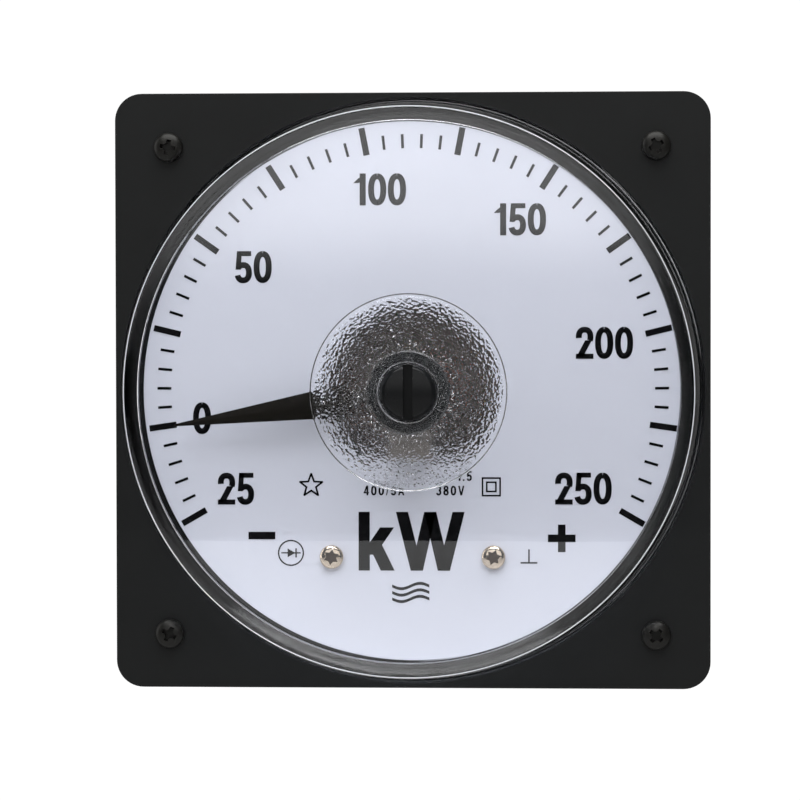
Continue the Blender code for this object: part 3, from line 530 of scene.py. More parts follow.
# The finish of each material slot.
FINISHES = {
    # Injection-moulded ABS with a spark-eroded skin: near black, dull, finely pitted. The real
    # pits are 0.1 mm across and are drawn three times as coarse, to show.
    "black_abs": Finish("moulded_black_abs", "101111", "151616", 0.42, relief=5.0, grain=0.3, gloss=0.2),
    # Polished-mould polycarbonate: clear, faintly cool, with sharp reflections.
    "clear_polycarbonate": Clear("clear_polycarbonate_cup", "fbfcff", "eef0f4", 0.0, relief=3.0),
    # Gasket sponge rubber: dead black, open skin.
    "gasket_rubber": Finish("sponge_rubber", "1b1b1b", "232323", 0.85, relief=40.0, grain=0.5),
    # Steel screws with a black oxide skin: dark, with a soft oily gloss.
    "blackened_steel": Finish("black_oxide_steel", "141413", "201f1c", 0.34, metallic=0.4, relief=4.0,
                              grain=0.25, gloss=0.3),
    # Zinc-plated steel: pale blue-grey metal with a spangled shine.
    "zinc_steel": Finish("zinc_plated_steel", "b9bdc4", "9a9fa8", 0.30, metallic=1.0, relief=3.0,
                         grain=0.5),
    # Moulded nylon, polished where a screwdriver and fingers rub it: black with a broad gloss.
    "adjuster_black": Finish("polished_black_nylon", "0f1011", "141516", 0.24, wander=0.04, relief=2.0,
                             grain=0.6, gloss=0.22),
    # Turned and milled brass: warm yellow metal with fine tool lines.
    "brass": Brushed("turned_brass", "c9a25c", "b58a45", 0.28, metallic=1.0, relief=2.0, grain=0.25),
    # Stove enamel on aluminium sheet: bluish white, silk gloss, faint orange peel.
    "dial_enamel": Finish("stove_enamel_dial", "d4d5dc", "d8d9e0", 0.5, wander=0.03, relief=1.5,
                          grain=0.9),
    # Nickel-plated brass screws: pale gold metal, bright.
    "nickel_brass": Finish("nickel_plated_brass", "e9dccb", "dcc9b0", 0.1, metallic=1.0, wander=0.03,
                           relief=1.0, grain=0.3),
    # Soft magnetic iron, tumbled: grey metal with a dull sheen.
    "soft_iron": Finish("tumbled_soft_iron", "6b6460", "574f4a", 0.42, metallic=1.0, relief=8.0,
                        grain=0.4),
    # Cast magnet alloy, ground on its faces: dark, coarse grey.
    "magnet_alloy": Finish("cast_magnet_alloy", "5c5d60", "45464a", 0.5, metallic=0.9, relief=18.0,
                           grain=0.6),
    # Ground and polished steel: bright with fine lines.
    "polished_steel": Brushed("ground_polished_steel", "c4c4c7", "aeaeb2", 0.2, metallic=1.0,
                              relief=1.0, grain=0.2),
    # Enamelled copper wire: dark coppery brown under its varnish.
    "coil_winding": Wound("enamelled_copper_wire", "6e3a24", "55301f", 0.3, metallic=0.7, relief=40.0,
                          grain=0.35),
    # Bare copper balance weight: red-orange metal, drawn and cut from wire.
    "copper": Brushed("drawn_copper", "d2613a", "b9502c", 0.3, metallic=0.9, relief=2.0, grain=0.3),
    # Rolled aluminium sheet: light grey with rolling lines.
    "bare_aluminium": Brushed("rolled_aluminium", "8c8680", "77716b", 0.38, metallic=1.0, relief=3.0,
                              grain=0.3),
    # Lacquer sprayed on aluminium foil: black-brown, satin.
    "pointer_black": Finish("sprayed_black_lacquer", "0f0d0a", "17130c", 0.34, relief=2.5, grain=0.35,
                            gloss=0.12),
    # Phosphor bronze strip: warm copper-gold, bright.
    "spring_bronze": Brushed("phosphor_bronze_strip", "b98550", "a06c3a", 0.25, metallic=1.0,
                             relief=1.0, grain=0.2),
    # Glass-epoxy board under solder mask: deep green, satin, tracks raised below.
    "board_laminate": Laminate("solder_mask_laminate", "1d5a35", "164a2b", 0.35, relief=35.0, grain=2.2),
    # Moulded trimmer case: blue, glossy.
    "blue_plastic": Finish("moulded_blue_trimmer", "1f4fa8", "1a4594", 0.3, relief=2.0, grain=0.5),
    # Fired cement over a ceramic core: sandy and dull.
    "resistor_ceramic": Finish("fired_resistor_ceramic", "c8bb9c", "b5a684", 0.7, relief=20.0,
                               grain=0.35),
    # Extruded PVC sleeves: smooth, soft gloss.
    "red_insulation": Finish("red_pvc_sleeve", "a81a1a", "951414", 0.38, relief=2.0, grain=0.5),
    "black_insulation": Finish("black_pvc_sleeve", "18181a", "202022", 0.38, relief=2.0, grain=0.5),
}


def dress_frame() -> None:
    """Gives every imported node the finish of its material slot."""
    for part in frame["record"]["subparts"]:
        node = frame["nodes"][part["node"]]
        finish = FINISHES[part["material_slot"]]
        node.data.materials.clear()
        node.data.materials.append(finish.material())
        for face in node.data.polygons:
            face.material_index = 0


# --- Clear cover ---

@dataclass
class ClearCover:
    """The clear cup: a flat face, a rounded edge, a pebbled disc inside and a hub ring."""

    base_radius: float = 53.7 * MM
    draft: float = 1.6 * MM
    wall: float = 2.5 * MM
    edge: float = 0.6 * MM
    inner_edge: float = 0.3 * MM
    hub_inner: float = 5.5 * MM
    hub_outer: float = 7.5 * MM
    hub_rise: float = 0.6 * MM
    bore: float = 2.8 * MM
    ledge: float = 2.5 * MM         # adjuster's seat, behind the hub's top
    pebble_radius: float = 17.9 * MM
    pebble_step: float = 0.7 * MM   # disc's rise from the inner face
    pebble_rim: float = 0.35 * MM   # smooth rim round the pebbles
    pebble_fade: float = 0.5 * MM   # inside that rim, where they rise to their full depth
    hold: float = 0.12 * MM         # narrow band that keeps a flat face's shading flat
    painted_highlight_radius: float = 0.11 * MM    # radius of the painted highlight ring where the polished face ends
    pebble_rings: int = 118
    pebbles: tuple[tuple[str, float, float], ...] = (   # vertex group, size, depth
        ("coarse_pebbles", 0.48 * MM, 0.36 * MM), ("fine_pebbles", 0.3 * MM, 0.42 * MM))
    sides: int = 600
    soft: float = 0.14 * MM         # rounding of the hub's edges
    lug_reach: float = 3.5 * MM
    lug_width: float = 12.0 * MM
    lug_thickness: float = 1.7 * MM

    def __post_init__(self) -> None:
        """Reads the cover's depths from the frame."""
        low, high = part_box("clear_cover")
        self.base = high.y
        self.hub_top = low.y
        self.front = low.y + self.hub_rise
        self.inner_face = self.front + self.wall
        self.pebble_face = self.inner_face + self.pebble_step

    def profile(self) -> list[Point]:
        """The cup's closed section, from the hub outwards and back inside."""
        soft, hold, front, inner = self.soft, self.hold, self.front, self.inner_face
        top = self.base_radius - self.draft
        wall, turned = top - self.wall, self.inner_edge
        hub, rim, ledge = self.hub_inner + soft, self.hub_outer - soft, self.hub_top + self.ledge
        return [
            *arc((hub, self.hub_top + soft), soft, -180, -90, 3),
            (hub + hold, self.hub_top), (rim - hold, self.hub_top),
            *arc((rim, self.hub_top + soft), soft, -90, 0, 3),
            *arc((self.hub_outer + soft, front - soft), soft, 180, 90, 3),
            (self.hub_outer + soft + hold, front), (top - self.edge - hold, front),
            *arc((top - self.edge, front + self.edge), self.edge, -90, 0, 6),
            (top + hold * self.draft / self.wall, front + self.edge + hold),
            (self.base_radius, self.base), (self.base_radius - self.wall, self.base),
            (wall, inner + turned + hold),
            *arc((wall - turned, inner + turned), turned, 0, -90, 4),
            (wall - turned - hold, inner), (self.pebble_radius + soft + hold, inner),
            *arc((self.pebble_radius + soft, inner + soft), soft, -90, -180, 3),
            *arc((self.pebble_radius - soft, self.pebble_face - soft), soft, 0, 90, 3),
            (self.bore, self.pebble_face), (self.bore, ledge), (self.hub_inner, ledge)]

    def pebble(self, cup: Object) -> None:
        """Presses the pebbles into the disc: coarse by its rim and finer towards the hub.

        Args:
            cup: The turned cup, whose disc is one broad ring of faces.
        """
        rim = self.pebble_radius - self.pebble_rim
        with editing(cup, "EDGE") as cage:
            pick_edges(cage, lambda a, b: abs(a.y - self.pebble_face) < MICRON
                       and abs(b.y - self.pebble_face) < MICRON
                       and abs(math.hypot(a.x, a.z) - math.hypot(b.x, b.z)) > MM)
            bpy.ops.mesh.subdivide_edgering(number_cuts=self.pebble_rings, interpolation="LINEAR")
        # Coarse pebbles grow towards the rim, where the fine ones lose two fifths of their depth.
        coarse = cup.vertex_groups.new(name="coarse_pebbles")
        fine = cup.vertex_groups.new(name="fine_pebbles")
        for vertex in cup.data.vertices:
            reach = math.hypot(vertex.co.x, vertex.co.z)
            off_disc = abs(vertex.co.y - self.pebble_face) > 0.02 * MM
            if off_disc or not self.bore + MICRON < reach < rim - MICRON:
                continue
            share = min(max((reach - self.hub_outer) / (rim - self.hub_outer), 0.0), 1.0)
            edge = min((rim - reach) / self.pebble_fade, 1.0)
            under_hub = reach < self.hub_outer
            coarse.add([vertex.index], edge * share ** 1.5, "REPLACE")
            fine.add([vertex.index], 0.5 if under_hub else edge * (1 - 0.4 * share), "REPLACE")
        for name, size, height in self.pebbles:
            bumps = bpy.data.textures.new(name, "VORONOI")
            bumps.noise_scale = size
            bumps.distance_metric = "DISTANCE"
            modify(cup, "DISPLACE", texture=bumps, texture_coords="LOCAL", vertex_group=name,
                   direction="Y", mid_level=0.35, strength=-height)

    def lug(self, number: int) -> Object:
        """One corner lug, which the front frame holds down."""
        half, foot = self.lug_width / 2, self.base_radius + 0.05 * MM
        piece = block("lug", (-half, self.base - self.lug_thickness, foot),
                      (half, self.base, self.base_radius + self.lug_reach))
        return move(piece, spin=45 + 90 * number)

    def build(self) -> None:
        """Builds the cup with its lugs, and a pale ring in its edge as a painted highlight."""
        cup = turn("clear_cup", self.profile(), self.sides, closed=True)
        self.pebble(cup)
        smooth(cup, 50)
        cup = merge([cup, *[self.lug(number) for number in range(4)]], "clear_cup")
        deliver(cup, "clear_polycarbonate", "clear_cover")
        # A pale ring laid in the edge's fillet: a painted highlight, not part of the cup itself.
        place = self.base_radius - self.draft - self.edge * 0.4
        section = arc((place, self.front + self.edge * 0.2), self.painted_highlight_radius, 0, 360, 8)[:-1]
        ring = turn("cover_painted_edge_highlight", section, 300, closed=True)
        deliver(smooth(ring, 60), "clear_polycarbonate", finish=PAINTED_EDGE_HIGHLIGHT)


# --- Case and front frame ---


def rounded_plate(name: str, half: float, corner: float, front: float, rear: float) -> Object:
    """A square plate with rounded corners.

    Args:
        name: The piece's name.
        half: Half its side.
        corner: Its corner radius.
        front: Its front depth.
        rear: Its rear depth.

    Returns:
        The plate.
    """
    plate = block(name, (-half, front, -half), (half, rear, half))
    with editing(plate, "EDGE") as cage:
        pick_edges(cage, lambda a, b: abs(a.y - b.y) > (rear - front) / 2)
        bpy.ops.mesh.bevel(offset=corner, segments=12, profile=0.5, affect="EDGES")
    return plate


def corner_holes(plate: Object, place: float, radius: float, front: float, rear: float) -> None:
    """Drills a plate's four corners.

    Args:
        plate: The plate.
        place: Each hole's distance from the middle, both ways.
        radius: The holes' radius.
        front: Where they start.
        rear: Where they end.
    """
    for x in (-place, place):
        for z in (-place, place):
            cut(plate, rod("hole", radius, front, rear, (x, z), 32))


@dataclass
class FrontFrame:
    """The square moulded frame that holds the cover down."""

    corner: float = 5.0 * MM
    opening: float = 54.0 * MM
    rounding: float = 0.55 * MM
    screw_hole: float = 1.6 * MM
    screw_place: float = 45.0 * MM

    def build(self) -> None:
        """Builds the frame with its round opening and screw holes."""
        low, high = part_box("front_frame")
        plate = rounded_plate("front_frame_moulding", high.x, self.corner, low.y, high.y)
        cut(plate, rod("opening", self.opening, low.y - MM, high.y + MM, sides=240))
        corner_holes(plate, self.screw_place, self.screw_hole, low.y - MM, high.y + MM)
        round_edges(plate, self.rounding, 4)
        deliver(plate, "black_abs", "front_frame")


@dataclass
class RearCase:
    """The flange and the barrel behind the panel, moulded in one."""

    corner: float = 5.0 * MM
    barrel: float = 49.5 * MM
    barrel_wall: float = 2.5 * MM
    rear_wall: float = 2.5 * MM
    rear_edge: float = 1.5 * MM
    collar: float = 6.0 * MM
    collar_height: float = 2.0 * MM
    terminal_x: float = 15.0 * MM
    terminal_hole: float = 2.8 * MM
    stud_place: float = 45.0 * MM
    stud_hole: float = 2.6 * MM
    groove_depth: float = 0.5 * MM
    ribs: int = 12
    rib_half: float = 0.6 * MM
    rib_rise: float = 0.25 * MM
    mark_drop: float = 12.0 * MM    # the plus and minus, above the terminals

    def shell(self, front: float, rear: float) -> Object:
        """The flange with its hollow barrel.

        Args:
            front: The flange's front depth.
            rear: The rear wall's outer depth.

        Returns:
            The shell.
        """
        case = rounded_plate("meter_case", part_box("rear_case")[1].x, self.corner, front, 0.0)
        outer = [(self.barrel, front / 2), *arc((self.barrel - self.rear_edge, rear - self.rear_edge),
                                                self.rear_edge, 0, 90, 6)]
        recess = self.barrel - 6 * MM
        outer += [(recess, rear), (recess - self.groove_depth, rear - self.groove_depth)]
        cut(case, turn("barrel", outer, 180), "UNION")
        inside = self.barrel - self.barrel_wall
        cut(case, rod("hollow", inside, front - MM, rear - self.rear_wall, sides=120))
        return case

    def build(self) -> None:
        """Builds the shell with its collars, ribs, marks and holes."""
        low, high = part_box("rear_case")
        rear = high.y - self.collar_height
        case = self.shell(low.y, rear)
        for side in (-1, 1):
            centre = (side * self.terminal_x, 0.0)
            cut(case, rod("collar", self.collar, rear - MM, high.y, centre), "UNION")
            cut(case, rod("bore", self.terminal_hole, rear - 5 * MM, high.y + MM, centre, 40))
        for number in range(self.ribs):
            spin = 360 * (number + 0.5) / self.ribs
            rib = block("rib", (-self.rib_half, 9 * MM, self.barrel - MM),
                        (self.rib_half, rear - 4 * MM, self.barrel + self.rib_rise))
            cut(case, move(rib, spin=spin), "UNION")
        corner_holes(case, self.stud_place, self.stud_hole, low.y - MM, MM)
        for piece in self.marks(rear):
            cut(case, piece, "UNION")
        round_edges(case, 0.35 * MM, 2)
        deliver(case, "black_abs", "rear_case")

    def marks(self, rear: float) -> list[Object]:
        """The raised plus and minus beside the terminals."""
        front, back = rear - MM, rear + 0.4 * MM
        place, half, reach = self.terminal_x, 0.5 * MM, 2.2 * MM
        drop = self.mark_drop
        minus, plus, upright = [
            block(name, (x - across, front, drop - up), (x + across, back, drop + up))
            for name, x, across, up in (("minus", place, reach, half), ("plus", -place, reach, half),
                                        ("upright", -place, half, reach))]
        cut(plus, upright, "UNION")
        return [minus, plus]


# --- Fasteners ---

class Recess(Enum):
    """The driver recess in a screw's head, by its number of blades."""

    CROSS = 2
    STAR = 3


@dataclass
class PanScrew:
    """A pan-head screw that stands on depth 0, with its head in front."""

    length: float
    head: float
    height: float
    shank: float
    recess: Recess
    blade: float = 0.16             # blade's half width, as a share of the head
    reach: float = 0.66             # blade's reach, as a share of the head
    depth: float = 0.62             # recess's depth, as a share of the height
    dome: float = 0.58              # domed part of the height
    waist: float = 0.62             # star's inner corners, as a share of its outer ones
    blade_taper: Size = (0.6, 1.0, 0.8)     # how a blade narrows towards its floor
    centre_hole: float = 1.9        # as a share of a blade's half width
    thread_root: float = 0.8        # as a share of the shank
    point: float = 0.4              # chamfer at the shank's end, as a share of the shank

    def build(self) -> Object:
        """Builds the screw round the Y axis."""
        angles = [math.radians(angle) for angle in range(90, 9, -10)]
        crown = [(self.head * math.sin(angle), -self.height * (1 - self.dome + self.dome * math.cos(angle)))
                 for angle in angles]
        point, soft = self.shank * self.point, 0.1 * MM
        profile = [(self.shank - point, self.length), (self.shank, self.length - point), *self.thread(),
                   (self.shank, 0.0), (self.head - soft, 0.0), (self.head, -soft), *crown]
        screw = turn("pan_screw", profile, 40)
        floor = -self.height * (1 - self.depth)
        top = -self.height * 1.5        # clear of the head
        half, reach = self.head * self.blade, self.head * self.reach
        blades = self.recess.value
        for number in range(blades if self.recess is Recess.CROSS else 0):
            blade = block("blade", (-reach, top, -half), (reach, floor, half))
            with editing(blade) as cage:
                pick_faces(cage, lambda centre, normal: normal.y > 0.5)
                bpy.ops.transform.resize(value=self.blade_taper, center_override=(0, floor, 0))
            cut(screw, move(blade, spin=180 * number / blades))
        if self.recess is Recess.STAR:
            cut(screw, self.star(top, floor))
        cut(screw, rod("centre", half * self.centre_hole, top, floor + 0.1 * MM, sides=16))
        return round_edges(screw, 0.06 * MM, 2, 30)

    def star(self, front: float, rear: float) -> Object:
        """A star-shaped bar, as deep as asked."""
        bar = rod("star", self.head * self.reach, front, rear, sides=4 * self.recess.value)
        for vertex in bar.data.vertices:
            if round(math.degrees(math.atan2(vertex.co.x, vertex.co.z)) / (90 / self.recess.value)) % 2:
                vertex.co.x, vertex.co.z = vertex.co.x * self.waist, vertex.co.z * self.waist
        return bar

    def thread(self) -> list[Point]:
        """Rings of thread along the shank, one each half millimetre."""
        pitch, rings = 0.5 * MM, []
        depth = self.length - self.shank
        while depth > pitch:
            rings += [(self.shank, depth), (self.shank * self.thread_root, depth - pitch / 2)]
            depth -= pitch
        return rings


@dataclass
class FrontScrews:
    """The four corner screws in the front frame and the two that hold the dial."""

    # Head's radius and height, shank's radius, recess and its blades' half width.
    corner_sizes: tuple = (2.7 * MM, 2.0 * MM, 1.25 * MM, Recess.CROSS)
    dial_sizes: tuple = (2.2 * MM, 1.3 * MM, 1.0 * MM, Recess.STAR, 0.15)
    corner_turns: tuple[float, ...] = (12.0, 62.0, 28.0, 40.0)
    dial_turns: tuple[float, ...] = (8.0, 20.0)

    def build(self) -> None:
        """Builds and places all six."""
        for stem, sizes, turns, slot in (
                ("frame_screw", self.corner_sizes, self.corner_turns, "blackened_steel"),
                ("dial_screw", self.dial_sizes, self.dial_turns, "nickel_brass")):
            low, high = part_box(f"{stem}_1")
            height = sizes[1]
            self.place_copies(stem, PanScrew(high.y - low.y - height, *sizes), turns, slot)

    def place_copies(self, stem: str, screw: PanScrew, turns: Sequence[float], slot: str) -> None:
        """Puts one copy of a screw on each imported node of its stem.

        Args:
            stem: The nodes' name before its number.
            screw: The screw.
            turns: Where each one's recess points, in degrees.
            slot: The record's slot.
        """
        model = screw.build()
        for number, turned in enumerate(turns, 1):
            low, _, x, z = span(f"{stem}_{number}")
            depth = low.y + screw.height
            twin = move(copy_of(model, f"{stem}_{number}_pan_head"), x, depth, z, turned)
            deliver(twin, slot, f"{stem}_{number}")
            # A dark star-shaped plug on the recess floor: painted shade in the recess.
            if screw.recess is Recess.STAR:
                floor = -screw.height * (1 - screw.depth)
                recess_shade = move(screw.star(floor - 0.3 * MM, floor - 0.02 * MM), x, depth, z, turned)
                recess_shade.name = f"{stem}_{number}_wax"
                deliver(recess_shade, slot, finish=PAINTED_RECESS_SHADE)
        bpy.data.objects.remove(model)


@dataclass
class RearFasteners:
    """Studs and nuts behind the panel, and the two terminals."""

    stud: float = 2.5 * MM
    flats: float = 8.0 * MM
    nut_flange: float = 5.6 * MM
    washer: float = 5.0 * MM
    pitch: float = 0.8 * MM
    thread_depth: float = 0.32 * MM
    end_chamfer: float = 0.6 * MM
    bore_gap: float = 0.06 * MM     # between a nut and its stud
    nut_chamfer: float = 0.45 * MM
    stud_head: float = 2.4 * MM
    stud_flats: float = 7.0 * MM
    panel: float = 3.0 * MM         # plain length of a mounting stud behind the flange

    def threaded(self, name: str, front: float, rear: float, plain: float) -> Object:
        """A threaded stud.

        Args:
            name: The stud's name.
            front: Its front depth.
            rear: Its rear depth.
            plain: The depth at which its thread starts.

        Returns:
            The stud.
        """
        profile = [(self.stud, front), (self.stud, plain)]
        depth = plain
        while depth + self.pitch < rear - self.end_chamfer:
            profile += [(self.stud - self.thread_depth, depth + self.pitch / 2),
                        (self.stud, depth + self.pitch)]
            depth += self.pitch
        profile += [(self.stud, rear - self.end_chamfer), (self.stud - self.end_chamfer, rear)]
        return smooth(turn(name, profile, 36), 25)

    def nut(self, name: str, front: float, rear: float) -> Object:
        """A hexagon nut with both faces chamfered."""
        prism = rod(name, self.flats / math.sqrt(3), front, rear, sides=6)
        reach = self.flats / 2
        inner, outer = reach * 0.97, reach * 1.17       # just inside the flats, and past the corners
        cone = turn("chamfer", [(inner, front), (outer, front + self.nut_chamfer),
                                (outer, rear - self.nut_chamfer), (inner, rear)], 48)
        cut(prism, cone, "INTERSECT")
        cut(prism, rod("bore", self.stud + self.bore_gap, front - MM, rear + MM, sides=36))
        return round_edges(prism, 0.12 * MM, 2, 25)

    def build(self) -> None:
        """Builds every stud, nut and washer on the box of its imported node."""
        for number in range(1, 5):
            self.mounting(number)
        for number in (1, 2):
            self.terminal(number)

    def mounting(self, number: int) -> None:
        """One hexagon-headed mounting stud and its flanged nut."""
        name = f"mounting_stud_{number}"
        low, high, x, z = span(name)
        neck = low.y + self.stud_head
        stud = self.threaded("stud", neck, high.y, self.panel)
        head = rod("head", self.stud_flats / math.sqrt(3), low.y, neck, sides=6)
        deliver(move(merge([stud, head], f"{name}_threaded"), x, 0, z), "zinc_steel", name)
        name = f"stud_nut_{number}"
        low, high, x, z = span(name)
        nut = self.nut(f"{name}_flanged", low.y + 0.6 * MM, high.y)
        bore, rim = self.stud + self.bore_gap, self.nut_flange
        flange = turn("flange", [(bore, low.y), (rim - 0.2 * MM, low.y), (rim, low.y + 0.3 * MM),
                                 (rim - 0.3 * MM, low.y + 0.9 * MM), (self.flats * 0.52, low.y + 1.5 * MM),
                                 (bore, low.y + 1.5 * MM)], 48, closed=True)
        cut(nut, flange, "UNION")
        deliver(move(nut, x, 0, z, 17.0 * number), "zinc_steel", name)

    def terminal(self, number: int) -> None:
        """One terminal's stud, washer and outer nut."""
        name = f"terminal_stud_{number}"
        low, high, x, _ = span(name)
        deliver(move(self.threaded(f"{name}_threaded", low.y, high.y, low.y + MM), x), "brass", name)
        name = f"terminal_washer_{number}"
        low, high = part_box(name)
        soft, bore = 0.15 * MM, self.stud + 0.2 * MM
        section = [(bore, low.y), (self.washer - soft, low.y), (self.washer, low.y + soft),
                   (self.washer, high.y - soft), (self.washer - soft, high.y), (bore, high.y)]
        deliver(move(smooth(turn(f"{name}_turned", section, 64, closed=True)), x), "brass", name)
        name = f"terminal_nut_{number}"
        low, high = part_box(name)
        deliver(move(self.nut(f"{name}_chamfered", low.y, high.y), x, spin=11.0 * number), "brass", name)


# --- Dial ---

@dataclass(frozen=True)
class Sweep:
    """A curved stroke along an ellipse; angles run clockwise from its top."""

    centre: Point
    reach: Point
    start: float
    end: float
    squareness: float = 0.86        # 1 is a true ellipse, less is squarer

    def points(self) -> list[Point]:
        """Points along the stroke's middle."""
        made = []
        steps = 40
        for step in range(steps + 1):
            angle = math.radians(self.start + (self.end - self.start) * step / steps)
            shares = (math.sin(angle), math.cos(angle))
            made.append(tuple(middle + reach * math.copysign(abs(share) ** self.squareness, share)
                              for middle, reach, share in zip(self.centre, self.reach, shares)))
        return made


@dataclass(frozen=True)
class Slant:
    """A straight stroke with level ends, from a low place to a high one."""

    low: Point
    high: Point
    width: float


# Strokes of each figure and letter, in shares of its height.
STROKE = 0.185
GLYPHS: dict[str, tuple[Sweep | Slant, ...]] = {
    "0": (Sweep((0.285, 0.5), (0.192, 0.41), 0, 360),),
    "1": (Slant((0.30, 0.0), (0.30, 1.0), 0.19), Slant((0.09, 0.70), (0.26, 0.86), 0.17)),
    "2": (Sweep((0.275, 0.69), (0.182, 0.22), -98, 118), Slant((0.13, 0.08), (0.395, 0.58), 0.21),
          Slant((0.275, 0.0), (0.275, 0.16), 0.55)),
    "3": (Sweep((0.26, 0.72), (0.17, 0.19), -80, 180), Sweep((0.26, 0.30), (0.18, 0.21), 0, 260)),
    "4": (Slant((0.40, 0.0), (0.40, 1.0), 0.17), Slant((0.29, 0.2), (0.29, 0.34), 0.56),
          Slant((0.10, 0.26), (0.36, 1.0), 0.15)),
    "5": (Sweep((0.27, 0.325), (0.182, 0.24), -58, 254), Slant((0.11, 0.42), (0.155, 1.0), 0.16),
          Slant((0.31, 0.845), (0.31, 1.0), 0.43)),
    "8": (Sweep((0.275, 0.74), (0.16, 0.17), 0, 360), Sweep((0.275, 0.29), (0.185, 0.2), 0, 360)),
    "A": (Slant((0.08, 0.0), (0.32, 1.0), 0.17), Slant((0.56, 0.0), (0.32, 1.0), 0.17),
          Slant((0.32, 0.22), (0.32, 0.36), 0.4)),
    "V": (Slant((0.32, 0.0), (0.08, 1.0), 0.17), Slant((0.32, 0.0), (0.56, 1.0), 0.17)),
    "/": (Slant((0.05, 0.0), (0.25, 1.0), 0.1),),
    ".": (Slant((0.1, 0.0), (0.1, 0.17), 0.17),),
    "k": (Slant((0.10, 0.0), (0.10, 1.0), 0.19), Slant((0.17, 0.27), (0.49, 0.735), 0.24),
          Slant((0.50, 0.0), (0.27, 0.47), 0.235)),
    "W": (Slant((0.355, 0.0), (0.103, 1.0), 0.206), Slant((0.355, 0.0), (0.585, 1.0), 0.206),
          Slant((0.815, 0.0), (0.585, 1.0), 0.206), Slant((0.815, 0.0), (1.067, 1.0), 0.206)),
}
GLYPH_WIDTHS = {"0": 0.57, "1": 0.42, "2": 0.55, "3": 0.54, "4": 0.58, "5": 0.55, "8": 0.55, "A": 0.64,
                "V": 0.64, "/": 0.3, ".": 0.2, "k": 0.64, "W": 1.17}


